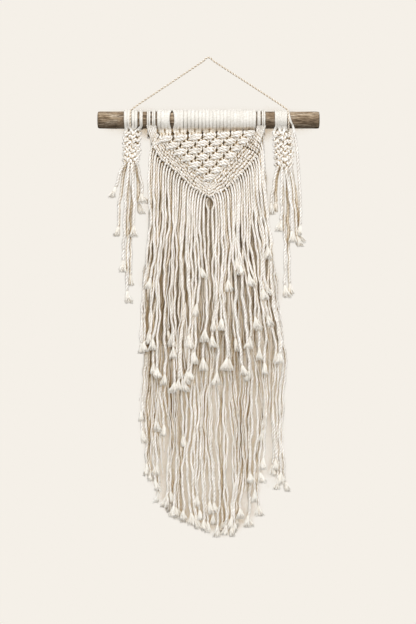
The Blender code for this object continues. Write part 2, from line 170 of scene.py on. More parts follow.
def close_tips(rope, within):
    """Merges the tiny ring at each rope's end into a point, and turns the faces outwards."""
    bm = bmesh.new()
    bm.from_mesh(rope.data)
    tips = [vert for vert in bm.verts if vert.is_boundary]
    bmesh.ops.remove_doubles(bm, verts=tips, dist=within)
    bmesh.ops.recalc_face_normals(bm, faces=bm.faces)
    bm.to_mesh(rope.data)
    bm.free()


def sweep(name, paths, section, radius, lay, shape=None):
    """One mesh of many ropes. Each path is an array of x, y, z and thickness; its ends close to a point."""
    around = np.array([point.co[:2] for point in section.data.splines[0].points]) * radius
    corners = len(around)
    data = bpy.data.curves.new(name, "CURVE")
    data.dimensions = "3D"
    data.twist_mode = "MINIMUM"
    data.bevel_mode = "OBJECT"
    data.bevel_object = section
    centres, straight = [], []
    draw = random.Random(len(paths))
    for number, path in enumerate(paths):
        spline = data.splines.new("POLY")
        spline.points.add(len(path) - 1)
        run = np.concatenate([[0], np.cumsum(np.linalg.norm(np.diff(path[:, :3], axis=0), axis=1))])
        thick = path[:, 3] * radius
        thick[[0, -1]] = TIP * radius
        places = np.hstack([path[:, :3], np.ones((len(path), 1))])
        spline.points.foreach_set("co", places.ravel())
        spline.points.foreach_set("radius", thick)
        spline.points.foreach_set("tilt", 2 * math.pi * run / lay + draw.uniform(0, 2 * math.pi))
        centres.append(path[:, :3].repeat(corners, axis=0))
        place = np.empty((len(path) * corners, 3))
        place[:, :2] = np.tile(around, (len(path), 1))
        place[:, 2] = (run + PATTERN_SHIFT * number).repeat(corners)
        straight.append(place)
    rope = bpy.data.objects.new(name, data)
    bpy.context.scene.collection.objects.link(rope)
    bpy.ops.object.select_all(action="DESELECT")
    rope.select_set(True)
    bpy.context.view_layer.objects.active = rope
    bpy.ops.object.convert(target="MESH")
    mesh = rope.data
    centres, straight = np.vstack(centres), np.vstack(straight)
    if len(mesh.vertices) != len(centres):
        raise ValueError(f"{name}: {len(mesh.vertices)} vertices, {len(centres)} expected")
    if shape:
        places = np.empty(len(centres) * 3)
        mesh.vertices.foreach_get("co", places)
        mesh.vertices.foreach_set("co", shape(places.reshape(-1, 3), centres, straight).ravel())
    attribute = mesh.attributes.new("rope_place", "FLOAT_VECTOR", "POINT")
    attribute.data.foreach_set("vector", straight.astype(np.float32).ravel())
    close_tips(rope, MERGE * radius)
    bpy.ops.object.shade_smooth()
    print(f"{name}: {len(paths)} ropes, {sum(len(f.vertices) - 2 for f in mesh.polygons)} triangles")
    return rope


def dress(piece, material, slot, *nodes):
    """Gives a piece its finish, hangs it on the root body, and hides the solids that it stands for."""
    piece.data.materials.clear()
    piece.data.materials.append(material)
    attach(piece, "root")
    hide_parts(*nodes)


print("ropes end in a point, and what is within", MERGE, "of a radius there is merged")

# %% [markdown]
# ## Camera and studio
#
# The hanging is seen straight on, from far enough away that the rod's ends aren't splayed. Behind it a
# pale sheet falls like a wall and sweeps out into a floor, so that the gaps between the strands look on
# to a soft shade and not into nothing. A long lens from three metres away does for the first, and the
# frame is set out so that a pixel is 1.8 mm where the hanging is.

# %% Camera
LENS = 100  # mm, behind which is a sensor of the usual 36 mm
SENSOR = 36
FRAME_HIGH = 1123.2 * MM  # what the picture's height spans where the hanging is
VIEW_CENTRE = (-0.9 * MM, -458.1 * MM)

camera_data = bpy.data.cameras.new("camera")
camera_data.lens = LENS
camera_data.sensor_width = SENSOR
camera = bpy.data.objects.new("camera", camera_data)
camera.location = (VIEW_CENTRE[0], -FRAME_HIGH * LENS / SENSOR + NET_Y, VIEW_CENTRE[1])
camera.rotation_euler = (math.pi / 2, 0, 0)
bpy.context.scene.collection.objects.link(camera)
bpy.context.scene.camera = camera
bpy.context.scene.view_settings.view_transform = "Standard"
print("camera", round(-camera.location.y, 2), "m in front of the rod")

# %% [markdown]
# ## Colours and nodes
#
# A finish is a graph of nodes. Colours are written as the hex codes that a colour picker shows, and
# turned to the linear values that light is added up in. One small function adds any node, with its
# settings and with what goes into it, so that a finish below reads from the pattern to the shader.

# %% Colours and nodes
MULTIPLY = {"data_type": "RGBA", "blend_type": "MULTIPLY"}  # a Mix node's inputs 6 and 7, multiplied


def colour(code):
    """A material's colour from an sRGB hex code, as Blender's linear values."""
    parts = [int(code[place : place + 2], 16) / 255 for place in (1, 3, 5)]
    return tuple(p / 12.92 if p <= 0.04045 else ((p + 0.055) / 1.055) ** 2.4 for p in parts) + (1.0,)


def new_material(name):
    """A new material and its shader."""
    made = bpy.data.materials.new(name)
    made.use_nodes = True
    return made, made.node_tree.nodes["Principled BSDF"]


def node(finish, kind, settings=(), **links):
    """Adds a node: its settings, then what each input is, a value or another node's socket."""
    made = finish.node_tree.nodes.new(kind)
    for name, value in dict(settings).items():
        setattr(made, name, value)
    for name, value in links.items():
        place = int(name[1:]) if name[0] == "_" else name.replace("_", " ")
        if isinstance(value, bpy.types.NodeSocket):
            finish.node_tree.links.new(value, made.inputs[place])
        else:
            made.inputs[place].default_value = value
    return made


def ramp(made, *stops):
    """Sets a colour ramp's stops, each a place and a colour."""
    elements = made.color_ramp.elements
    while len(elements) < len(stops):
        elements.new(0.5)
    for element, (place, shade) in zip(elements, stops):
        element.position, element.color = place, shade
    return made


print("cream is", [round(c, 3) for c in colour("#F5F0E8")])

# %% [markdown]
# ## The sheet behind
#
# In a studio the sheet has lamps of its own, so that it is one even cream. Here it gives off that cream
# itself, and an ambient occlusion node darkens it to tan where strands close round it, as they keep
# the light off real paper. It takes no shadow and casts none, and from behind one looks through it.

# %% Pale sheet
SHEET_Y = 26 * MM
SHEET_TOP = 0.9
SHEET_HALF = 1.6
FLOOR_Z = -1.3
FLOOR_FRONT = -2.6
COVE = 0.5  # the radius of the bend between wall and floor
COVE_STEPS = 12
CREAM = "#F5F0E8"


def build_sheet():
    """A wall that curves into a floor, one face deep."""
    bpy.ops.object.select_all(action="DESELECT")
    bpy.ops.mesh.primitive_plane_add(size=1, location=(0, 0, 0))
    sheet = bpy.context.object
    sheet.name = "pale_sheet"
    outline = [(SHEET_Y, SHEET_TOP)]
    for step in range(COVE_STEPS + 1):
        turn = math.pi / 2 * step / COVE_STEPS
        outline.append((SHEET_Y - COVE * (1 - math.cos(turn)), FLOOR_Z + COVE * (1 - math.sin(turn))))
    outline.append((FLOOR_FRONT, FLOOR_Z))
    bm = bmesh.new()
    rows = [[bm.verts.new((x, y, z)) for x in (-SHEET_HALF, SHEET_HALF)] for y, z in outline]
    for upper, lower in zip(rows, rows[1:]):
        bm.faces.new((upper[0], lower[0], lower[1], upper[1]))
    bm.to_mesh(sheet.data)
    bm.free()
    bpy.ops.object.shade_smooth()
    return sheet


paper, _ = new_material("pale_paper")
# Painted shade: ambient occlusion turns the even cream tan and brown where strands stand near the sheet.
shade = node(paper, "ShaderNodeAmbientOcclusion", {"samples": 8}, Distance=32 * MM)
cream_and_painted_shade = node(paper, "ShaderNodeValToRGB", (), Fac=shade.outputs["AO"])
ramp(cream_and_painted_shade, (0.13, colour("#6A4E28")), (0.39, colour("#B99B6C")), (0.53, colour(CREAM)))
glow = node(paper, "ShaderNodeEmission", (), Color=cream_and_painted_shade.outputs[0], Strength=1.0)
side = node(paper, "ShaderNodeNewGeometry")
clear = node(paper, "ShaderNodeBsdfTransparent")
faces = node(
    paper, "ShaderNodeMixShader", (), _0=side.outputs["Backfacing"], _1=glow.outputs[0], _2=clear.outputs[0]
)
paper.node_tree.links.new(faces.outputs[0], paper.node_tree.nodes["Material Output"].inputs["Surface"])

sheet = build_sheet()
sheet.data.materials.clear()
sheet.data.materials.append(paper)
sheet.visible_shadow = sheet.visible_diffuse = sheet.visible_glossy = False
print("sheet", SHEET_Y / MM, "mm behind the nail")

# %% [markdown]
# ## Lights
#
# The key light is a big softbox high in front, which brightens the tops of the ropes and leaves the
# underside of the rod dark. A wider one straight in front opens the shade between the strands, and one
# behind serves the views from the back. The room gives the rest, a little more from above and in front.

# %% Lights


def softbox(name, size, place, aim, watts):
    """A square area light that faces the point it is aimed at."""
    data = bpy.data.lights.new(name, "AREA")
    data.size = size
    data.energy = watts
    data.color = (0.98, 0.99, 1.0)
    lamp = bpy.data.objects.new(name, data)
    lamp.location = place
    lamp.rotation_euler = (Vector(aim) - Vector(place)).to_track_quat("-Z", "Y").to_euler()
    bpy.context.scene.collection.objects.link(lamp)
    return lamp


MIDDLE = (0, 0, -0.45)
lamps = [
    softbox("key_light", 1.2, (-0.5, -1.5, 2.1), MIDDLE, 26),
    softbox("front_light", 1.8, (0.5, -3.2, 0.1), MIDDLE, 61),
    softbox("back_light", 1.6, (0.3, 2.2, 0.9), MIDDLE, 34),
]

# The room is brightest in front of the hanging and above it, and dim behind and below.
world = bpy.data.worlds.new("studio")
bpy.context.scene.world = world
world.use_nodes = True
room, world_out = (world.node_tree.nodes[name] for name in ("Background", "World Output"))
direction = node(world, "ShaderNodeTexCoord")
towards = node(
    world, "ShaderNodeVectorMath", {"operation": "DOT_PRODUCT"},
    _0=direction.outputs["Generated"], _1=(0, -0.42, 0.38),
)
strength = node(world, "ShaderNodeMath", {"operation": "ADD"}, _0=towards.outputs["Value"], _1=0.5)
world.node_tree.links.new(strength.outputs[0], room.inputs["Strength"])
room.inputs["Color"].default_value = colour("#F9F5EE")
# Past the sheet's edges a view meets the sheet's own cream.
beyond = node(world, "ShaderNodeBackground", (), Color=colour(CREAM))
ray = node(world, "ShaderNodeLightPath")
chosen = node(
    world, "ShaderNodeMixShader", (),
    _0=ray.outputs["Is Camera Ray"], _1=room.outputs[0], _2=beyond.outputs[0],
)
world.node_tree.links.new(chosen.outputs[0], world_out.inputs["Surface"])
print(len(lamps), "lamps,", sum(lamp.data.energy for lamp in lamps), "W in all")

# %% [markdown]
# ## The hanging cord
#
# A thin two-ply cord goes once round the rod at each end and over the nail in the middle. It is held
# taut, so its path is nearly two straight lines. It is one long mesh tube. Two plies show as a figure
# of eight in the section.

# %% Cord
HANGER_THICK = 3.6 * MM
HANGER_LEFT = -139.8 * MM
HANGER_RIGHT = 142.9 * MM
HANGER_DRIFT = 3.0 * MM
HANGER_CLEAR = 0.6 * MM
HANGER_STEPS = 18
# mm to the right of the nail, and mm up from it
HANGER_LEFT_RUN = ((-136.6, -91.0), (-132, -87.2), (-120, -79), (-90, -59), (-60, -39), (-30, -19))
HANGER_AT_NAIL = ((-10, -5.6), (-4.2, -0.1), (0, 1.3), (4.2, -0.1), (10, -5.6))
HANGER_RIGHT_RUN = ((30, -18.6), (60, -38), (90, -57.5), (122, -78.5), (135, -87.2), (139.6, -90.8))
CORD_LAY = 12 * MM

CORD_CORNERS = [
    (math.radians(180 * ply + degrees), share)
    for ply in range(2)
    for degrees, share in ((-90, 0.52), (-50, 0.78), (-20, 0.98), (20, 0.98), (50, 0.78))
]
cord_section = section_curve("cord_section", CORD_CORNERS)


def rod_turn(x, drift):
    """The cord's turn round the rod, from the top over the front and almost back to the top."""
    radius = ROD_RADIUS + HANGER_CLEAR + HANGER_THICK / 2
    turn = []
    for step in range(HANGER_STEPS):
        share = step / HANGER_STEPS
        angle = 2 * math.pi * share
        turn.append((x + drift * share, -radius * math.sin(angle), -ROD_DROP + radius * math.cos(angle)))
    return turn


def hanger_route():
    """Left turn round the rod, up to the nail, and down to the right turn."""
    run = [(x * MM, 0, z * MM) for x, z in (*HANGER_LEFT_RUN, *HANGER_AT_NAIL, *HANGER_RIGHT_RUN)]
    return rod_turn(HANGER_LEFT, -HANGER_DRIFT)[::-1] + run + rod_turn(HANGER_RIGHT, HANGER_DRIFT)


hanger_path = smooth([(place, 1.0) for place in hanger_route()], step=1.0 * MM)
hanger = sweep("hanging_cord", [hanger_path], cord_section, HANGER_THICK / 2, CORD_LAY)

# %% [markdown]
# ## Cotton
#
# Natural cotton rope is unbleached, so it is cream and not white, quite dull, and a little furry. Its
# fibres run along each ply. The sweep has left every vertex its place in the straight rope, so noise
# that is stretched along that third number follows the fibres round every bend. The grooves between
# the plies hold a little dust, and painted shade, which the distance from the rope's middle gives.
# Deep between ropes a ramp over ambient occlusion multiplies the colour, which paints a dark brown
# shade there. On the rod and above it the streaks are evened out to a darker tone: the smoother look
# of rope pressed flat, and painted shade against the strong light there.

# %% Cotton rope
GAP_REACH = 20 * MM  # the reach of the ambient occlusion that paints shade into the gaps
GROOVE_WIDE = 0.13  # how far up its sides a groove is painted darker, dust and painted shade, as a share of the rope's radius


def cotton_finish(name, light, dark, deep, fibre, radius=None, gaps=1.0, grooves=0.5):
    """Unbleached cotton: streaks along the fibres, dull, with a soft sheen, and painted brown shade in the
    gaps.
    """
    made, shader = new_material(name)
    place = node(made, "ShaderNodeAttribute", {"attribute_name": "rope_place"})
    # Fibres bunch every few millimetres, a little longer along the rope than across it.
    straight = node(made, "ShaderNodeMapping", (), Vector=place.outputs["Vector"], Scale=(1, 1, 0.75))
    streaks = node(
        made, "ShaderNodeTexNoise", (),
        Vector=straight.outputs[0], Scale=1 / fibre, Detail=3.0, Roughness=0.65,
    )
    # Slow changes along the rope, a few centimetres apart.
    slow = node(made, "ShaderNodeTexNoise", (), Vector=place.outputs["Vector"], Scale=18.0, Detail=2.0)
    both = node(
        made, "ShaderNodeMath", {"operation": "MULTIPLY_ADD"},
        _0=slow.outputs[0], _1=0.5, _2=streaks.outputs[0],
    )
    # On the rod and above it the streaks are pulled towards one darker tone: the even look of rope pressed
    # flat, and painted shade against the strong light there.
    spot = node(made, "ShaderNodeTexCoord")
    height = node(made, "ShaderNodeSeparateXYZ", (), _0=spot.outputs["Object"])
    on_rod_shade_mask = node(
        made, "ShaderNodeMapRange", (), Value=height.outputs["Z"],
        From_Min=-ROD_DROP - 19 * MM, From_Max=-ROD_DROP - 11 * MM, To_Min=0.0, To_Max=0.6,
    )
    evened_and_shaded = node(made, "ShaderNodeMix", (), _0=on_rod_shade_mask.outputs[0], _2=both.outputs[0], _3=0.56)
    tone = node(made, "ShaderNodeValToRGB", (), Fac=evened_and_shaded.outputs[0])
    ramp(tone, (0.54, colour(dark)), (0.88, colour(light)))
    # Painted shade: ambient occlusion turns the colour dark and brown deep between ropes.
    gap = node(made, "ShaderNodeAmbientOcclusion", {"samples": 8}, Distance=GAP_REACH)
    painted_gap_shade = node(made, "ShaderNodeValToRGB", (), Fac=gap.outputs["AO"])
    ramp(painted_gap_shade, (0.05, colour(deep)), (0.18, colour("#A9803F")), (0.33, colour("#DEC28E")),
         (0.47, colour("#F5E9D1")), (0.62, (1, 1, 1, 1)))
    # From just under the rod upwards the painted gap shade is made greyer, as the light there comes from one
    # side only.
    greyer = node(
        made, "ShaderNodeMapRange", (), Value=height.outputs["Z"],
        From_Min=-ROD_DROP - 25 * MM, From_Max=-ROD_DROP - 20 * MM, To_Min=1.0, To_Max=0.5,
    )
    shade = node(
        made, "ShaderNodeHueSaturation", (), Saturation=greyer.outputs[0], Color=painted_gap_shade.outputs[0]
    )
    # gaps sets how much of the painted gap shade goes into the colour.
    last = node(made, "ShaderNodeMix", MULTIPLY, _0=gaps, _6=tone.outputs[0], _7=shade.outputs[0])
    if radius:
        # The grooves between the plies, nearest to the rope's middle, are painted darker: a little dust, and
        # painted shade.
        across = node(
            made, "ShaderNodeMapping", (), Vector=place.outputs["Vector"], Scale=(1 / radius, 1 / radius, 0)
        )
        reach = node(made, "ShaderNodeVectorMath", {"operation": "LENGTH"}, _0=across.outputs[0])
        groove = node(made, "ShaderNodeValToRGB", (), Fac=reach.outputs["Value"])
        ramp(groove, (GROOVE + 0.02, colour("#A8947A")), (GROOVE + GROOVE_WIDE, (1, 1, 1, 1)))
        last = node(made, "ShaderNodeMix", MULTIPLY, _0=grooves, _6=last.outputs[2], _7=groove.outputs[0])
    made.node_tree.links.new(last.outputs[2], shader.inputs["Base Color"])
    shader.inputs["Roughness"].default_value = 0.92
    shader.inputs["Specular IOR Level"].default_value = 0.2
    shader.inputs["Sheen Weight"].default_value = 0.15
    shader.inputs["Sheen Roughness"].default_value = 0.5
    relief = node(made, "ShaderNodeBump", (), Height=streaks.outputs[0], Strength=0.8, Distance=0.5 * MM)
    made.node_tree.links.new(relief.outputs[0], shader.inputs["Normal"])
    return made


print("light is lost in gaps", GAP_REACH / MM, "mm deep")

# %% Rope, combed ends and twine
# Each kind: its light and dark streaks, the brown of the shade painted deep in its gaps, and the width of
# its fibre bunches.
# Single fibres are too fine to show, so a bunch is drawn as wide as it needs to be seen.
cotton = cotton_finish("natural_cotton_rope", "#FDFCFB", "#C6C2BA", "#7A5224", 2.4 * MM, ROPE_RADIUS)
combed = cotton_finish("combed_cotton_ends", "#FDFCF9", "#DCD8D0", "#8E6C40", 0.8 * MM, gaps=0.6)
# The twine takes more of the groove darkening: painted shade that shows as dark dashes along it.
twine = cotton_finish(
    "twisted_cotton_twine", "#F3EEE5", "#DDD4C6", "#8E6C40", 0.8 * MM, HANGER_THICK / 2,
    gaps=0.6, grooves=0.75,
)
dress(hanger, twine, "twisted_cord", "hanger_cord")
print("cotton finishes:", cotton.name, combed.name, twine.name)

# %% [markdown]
# ## The rod
#
# The rod is a peeled branch that has weathered grey-brown. A cylinder is a fair start, because a branch
# is turned by its own growth: it only needs many rings, a slow wander in its thickness, fine ridges
# along the grain and ends worn round. It is modelled lying down, in its place under the nail.

# %% Rod
ROD_RINGS = 40
WORN_END = 4 * MM  # the radius that wear has given the ends
END_RING = 3 * MM


def build_rod():
    """A peeled branch along X: a cylinder with its ends worn round and its sides uneven."""
    bpy.ops.object.select_all(action="DESELECT")
    bpy.ops.mesh.primitive_cylinder_add(
        vertices=48, radius=ROD_RADIUS, depth=ROD_LENGTH, end_fill_type="NGON",
        location=(0, 0, -ROD_DROP), rotation=(0, math.pi / 2, 0),
    )
    rod = bpy.context.object
    rod.name = "driftwood_rod"
    bpy.ops.object.transform_apply(location=True, rotation=True, scale=True)
    bpy.ops.object.mode_set(mode="EDIT")
    bpy.ops.mesh.select_mode(type="FACE")
    bpy.ops.mesh.select_all(action="DESELECT")
    bpy.ops.object.mode_set(mode="OBJECT")
    for face in rod.data.polygons:
        face.select = abs(face.normal.x) > 0.9
    bpy.ops.object.mode_set(mode="EDIT")
    bpy.ops.mesh.bevel(offset=WORN_END, segments=4, affect="EDGES")
    for _ in range(2):
        bpy.ops.mesh.inset(thickness=END_RING)
    for x in np.linspace(-0.5, 0.5, ROD_RINGS + 2)[1:-1] * (ROD_LENGTH - 2 * WORN_END):
        bpy.ops.mesh.select_all(action="SELECT")
        bpy.ops.mesh.bisect(plane_co=(x, 0, 0), plane_no=(1, 0, 0))
    bpy.ops.mesh.select_all(action="SELECT")
    bpy.ops.mesh.normals_make_consistent(inside=False)
    bpy.ops.object.mode_set(mode="OBJECT")
    # Tenths of a millimetre: the thickness wanders along the branch, and fine ridges run with the grain.
    for vert in rod.data.vertices:
        x, y, z = vert.co.x, vert.co.y, vert.co.z + ROD_DROP
        around = math.atan2(z, y)
        wander = 0.15 * math.sin(52 * x + 2 * around) + 0.12 * math.sin(131 * x - 3 * around + 1)
        ridge = 0.1 * math.sin(9 * around + 14 * math.sin(7 * x)) + 0.08 * math.sin(17 * around + 31 * x)
        thick = 1 - 0.03 * max(0, x / ROD_LENGTH) + (wander + ridge) * MM / ROD_RADIUS
        vert.co.y, vert.co.z = y * thick, z * thick - ROD_DROP
    bpy.ops.object.shade_smooth_by_angle(angle=math.radians(50))
    return rod


rod = build_rod()
print("rod:", len(rod.data.polygons), "faces")

# %% [markdown]
# ## Weathered wood
#
# Where bark has gone and the sun has been, the wood turns grey, and the grain stands out in long dark
# lines with paler wood between. The lines run along the rod, so the noise is read in coordinates that
# are squeezed along X. Dry wood has hardly any shine, so it is rough, with furrows along the grain.

# %% Driftwood
driftwood, wood = new_material("weathered_driftwood")
where = node(driftwood, "ShaderNodeTexCoord")
# Grain lines a millimetre or two apart, each 30 to 40 mm long.
grain_place = node(driftwood, "ShaderNodeMapping", (), Vector=where.outputs["Object"], Scale=(0.11, 1, 1))
grain = node(
    driftwood, "ShaderNodeTexNoise", (), Vector=grain_place.outputs[0], Scale=620.0, Detail=8.0,
    Roughness=0.72, Distortion=0.6,
)
# Broad bands of grey and brown, a few centimetres long.
patch_place = node(driftwood, "ShaderNodeMapping", (), Vector=where.outputs["Object"], Scale=(0.22, 1, 1))
patches = node(driftwood, "ShaderNodeTexNoise", (), Vector=patch_place.outputs[0], Scale=120.0, Detail=3.0)
grain_tone = node(driftwood, "ShaderNodeValToRGB", (), Fac=grain.outputs[0])
ramp(grain_tone, (0.36, colour("#2E2419")), (0.46, colour("#7D6D5B")), (0.55, colour("#B0A08C")),
     (0.66, colour("#E0D6C5")))
patch_tone = node(driftwood, "ShaderNodeValToRGB", (), Fac=patches.outputs[0])
ramp(patch_tone, (0.38, colour("#A08D79")), (0.52, colour("#E2D6C5")), (0.66, colour("#FFFFFF")))
# Painted shade: the underside is darker, down to half, as the light falls from above.
height = node(driftwood, "ShaderNodeSeparateXYZ", (), Vector=where.outputs["Object"])
low = node(
    driftwood, "ShaderNodeMapRange", (), Value=height.outputs["Z"], From_Min=-ROD_DROP - 0.9 * ROD_RADIUS,
    From_Max=-ROD_DROP + 0.6 * ROD_RADIUS, To_Min=0.5, To_Max=1.0,
)
tones = grain_tone.outputs[0], patch_tone.outputs[0]
mixed = node(driftwood, "ShaderNodeMix", MULTIPLY, _0=0.85, _6=tones[0], _7=tones[1])
weathered_and_shaded = node(driftwood, "ShaderNodeMix", MULTIPLY, _0=1.0, _6=mixed.outputs[2], _7=low.outputs[0])
driftwood.node_tree.links.new(weathered_and_shaded.outputs[2], wood.inputs["Base Color"])
wood.inputs["Roughness"].default_value = 0.82
wood.inputs["Specular IOR Level"].default_value = 0.3
furrow = node(driftwood, "ShaderNodeBump", (), Height=grain.outputs[0], Strength=0.8, Distance=0.9 * MM)
driftwood.node_tree.links.new(furrow.outputs[0], wood.inputs["Normal"])
dress(rod, driftwood, "driftwood", "rod")
print("driftwood on", rod.name)

# %% [markdown]
# ## Ropes round the rod
#
# Every rope of the net starts in a lark's head: a loop behind the rod whose two legs come up the back,
# over the top and down the front. Drawn tight, the ropes flatten until each touches the next. The
# paths run round at one distance from the rod's axis, and the flattening is a move of the vertices
# towards the wood, and sideways.

# %% Round the rod
WRAP_MIDDLE = ROD_RADIUS + 1.85 * MM  # from the rod's axis to the middle of a flattened rope
WRAP_OUTER = 19.56 * MM  # and to its outer face, with a little to spare
PRESS_REACH = 25.5 * MM  # from the rod's axis to where a rope is round again
PRESS_OVER = 3 * MM  # the way in which it becomes flat
FLAT_OUT = 1.3 * MM  # half a flattened rope, out from the wood
SQUARER = 0.62  # 1 leaves a flattened rope oval, and less makes it more of a bar
EYE_X = -65.7 * MM  # two wraps have parted here, and the wood shows
EYE_HALF = 6.6 * MM
EYE_REACH = 15 * MM
WRAP_EDGES = (-92.2, -65.7, -38.0, -11.5, 14.3, 39.6, 62.2, 84.8)  # mm, where the wraps of two knots part


def round_rod(x, degrees):
    """A place on the middle of a wrap: 0 degrees on top of the rod, 90 at its front."""
    turn = math.radians(degrees)
    y = -WRAP_MIDDLE * math.sin(turn)
    return x, y, -ROD_DROP + WRAP_MIDDLE * math.cos(turn)


def eye_bow(x, y):
    """How far a wrap beside the eye bows away from it, most at the front of the rod."""
    front = np.maximum(0.0, -y / WRAP_OUTER) ** 1.5
    near = np.maximum(0.0, 1 - np.abs(x - EYE_X) / EYE_REACH)
    return np.copysign(EYE_HALF * front * near, x - EYE_X)


print("wraps", round((WRAP_MIDDLE - ROD_RADIUS) / MM, 2), "mm over the wood")

# %% Ropes pressed flat


def pressed(half):
    """A shaper that flattens the ropes on the rod to bands of one half width, and parts them at the eye."""

    def shape(places, centres, straight):
        """Moves the vertices round each centre, and evens out their places in the straight rope."""
        height = centres[:, 2] + ROD_DROP
        reach = np.hypot(centres[:, 1], height)
        tight = np.clip((PRESS_REACH - reach) / PRESS_OVER, 0, 1)[:, None]
        turn = np.arctan2(-centres[:, 1], height)
        facing = np.minimum(turn, math.radians(100))
        outward = np.stack([np.zeros_like(turn), -np.sin(facing), np.cos(facing)], axis=1)
        offset = places - centres
        size = np.linalg.norm(offset, axis=1)[:, None]
        out = (offset * outward).sum(axis=1)[:, None] / size
        along = offset[:, :1] / size
        # Pressed against its neighbours, a rope is squarer, and the grooves between its plies close.
        along, out = (np.sign(part) * np.abs(part) ** SQUARER for part in (along, out))
        across = np.linalg.norm(straight[:, :2], axis=1)[:, None]
        straight[:, :2] *= 1 + tight * (ROPE_RADIUS / across - 1)
        # Down the front, where they come together into a knot, the wraps grow slimmer and part.
        slim = 1.1 - 0.18 * np.clip((turn - 1.5) / 0.8, 0, 1)[:, None]
        corners = len(ROPE_CORNERS)
        thick = size.reshape(-1, corners).max(axis=1).repeat(corners)[:, None] / ROPE_RADIUS
        closed = np.minimum(1, size / ROPE_RADIUS * 4)  # a rope's end stays a point
        flat = (along * half * slim * thick * np.array([[1.0, 0, 0]]) + out * FLAT_OUT * outward) * closed
        moved = centres + offset + tight * (flat - offset)
        moved[:, 0] += eye_bow(centres[:, 0], centres[:, 1]) * tight[:, 0]
        return moved

    return shape


def panel_rope_places():
    """Where each rope of the net lies on the rod, from left to right."""
    places = []
    for left, right in zip(WRAP_EDGES, WRAP_EDGES[1:]):
        places += [(left + (rope + 0.5) * (right - left) / 4) * MM for rope in range(4)]
    return places


print(len(panel_rope_places()), "ropes on the rod")

# %% [markdown]
# ## Square knots
#
# A square knot takes four ropes. The two in the middle are the core and hang straight. The outer two
# go once across each way: one over the front of the core and one behind it, and then the other way
# round. The paths below are that knot drawn flat, in millimetres from its middle: right, up, and out
# towards the viewer. In the next row every knot is half a knot further along, so the outer rope of one
# knot is the core of the next.

# %% Knots
KNOT_WIDE, KNOT_HIGH = 25.0, 12.3  # mm, the size the paths below are drawn at
LEFT_WORKING = (
    (-10.2, 6.5, 3.0), (-10.4, 3.6, 3.6), (-8.0, 1.0, 4.2), (-3.5, 1.7, 5.8), (1, 2.5, 6.4), (5.4, 3.0, 5.2),
    (8.6, 2.2, 3.0), (9.2, 0.4, 0), (8.6, -1.0, 2.8), (5.4, -1.6, 5.0), (1, -2.1, 6.2), (-3.5, -2.8, 5.6),
    (-8.0, -3.6, 4.2), (-10.4, -5.0, 3.6), (-10.2, -6.5, 3.0),
)
LEFT_CORE = ((-2.3, 5.8, 3.0), (-2.6, 2, 1.6), (-2.6, -2, 1.6), (-2.3, -5.8, 3.0))
RIGHT_CORE = ((2.3, 5.8, 3.0), (2.6, 2, 1.6), (2.6, -2, 1.6), (2.3, -5.8, 3.0))
RIGHT_WORKING = (
    (10.2, 6.5, 3.0), (10.4, 4.8, 3.4), (9.6, 2.4, 3.4), (8.0, 0, 2), (5, -0.8, -2.5), (-5, 0.2, -2.5),
    (-9, 1.2, 2), (-9, -1.4, 2), (-5, -2.4, -2.5), (5, -3.2, -2.5), (9.6, -4.4, 3.2), (10.2, -6.5, 3.0),
)
KNOT_ROLES = (LEFT_WORKING, LEFT_CORE, RIGHT_CORE, RIGHT_WORKING)
KNOT_ROPE = 1.2  # in a knot the rope is squeezed, and looks fatter, most so in the knot's middle
DRAWN_IN = 2.6 * MM  # how far the outer ropes draw in from the rod to a knot of the first row


def in_knot(role, x, y, z, wide, high):
    """One rope's way through a square knot, scaled to that knot's size."""
    across, up = wide / KNOT_WIDE, high / KNOT_HIGH
    return [
        ((x + u * across, y - w * MM, z + v * up), KNOT_ROPE * (1.34 - 0.05 * abs(u)))
        for u, v, w in KNOT_ROLES[role]
    ]


def gap_at(place):
    """Where the net's knots part, in metres, at a whole or half place along its first row."""
    low = min(int(place), NET_ROWS - 1)
    return (NET_GAPS[low] + (NET_GAPS[low + 1] - NET_GAPS[low]) * (place - low)) * MM


def net_knot(row, column):
    """The middle and the width of a knot of the net."""
    place = column + (row + 1) / 2
    x = gap_at(place)
    wide = gap_at(place + 0.5) - gap_at(place - 0.5)
    return x, NET_TOP - row * NET_ROW_DROP + NET_TILT * x, wide


print("a knot is", KNOT_WIDE, "by", KNOT_HIGH, "mm")

# %% The net


def net_rope(rope):
    """One rope of the net, from where it leaves the rod to where it slips under the V."""
    column, role = divmod(rope, 4)
    points = []
    for row in range(NET_ROWS):
        x, z, wide = net_knot(row, column)
        way = in_knot(role, x, NET_Y, z, wide, NET_ROW_DROP)
        points += way[1:] if points else way
        side = -1 if role < 2 else 1
        column, role = (column - 1, role + 2) if role < 2 else (column, role - 2)
        if not 0 <= column < NET_ROWS - 1 - row:
            break
    # The ropes come from under the rod, and the outer two of a knot draw in, which leaves a slot.
    drawn_in = (DRAWN_IN, 0, 0, -DRAWN_IN)[rope % 4]
    for point, (share, back) in enumerate(((1, 6 * MM), (0.4, 0))):
        (x, y, z), thick = points[point]
        points[point] = ((x + share * drawn_in, y + back, z), thick)
    (x, y, z), _ = points[-1]
    points.append(((x + side * 2 * MM, y + 4 * MM, z - 3 * MM), 0.9))  # its end is behind the V
    return points


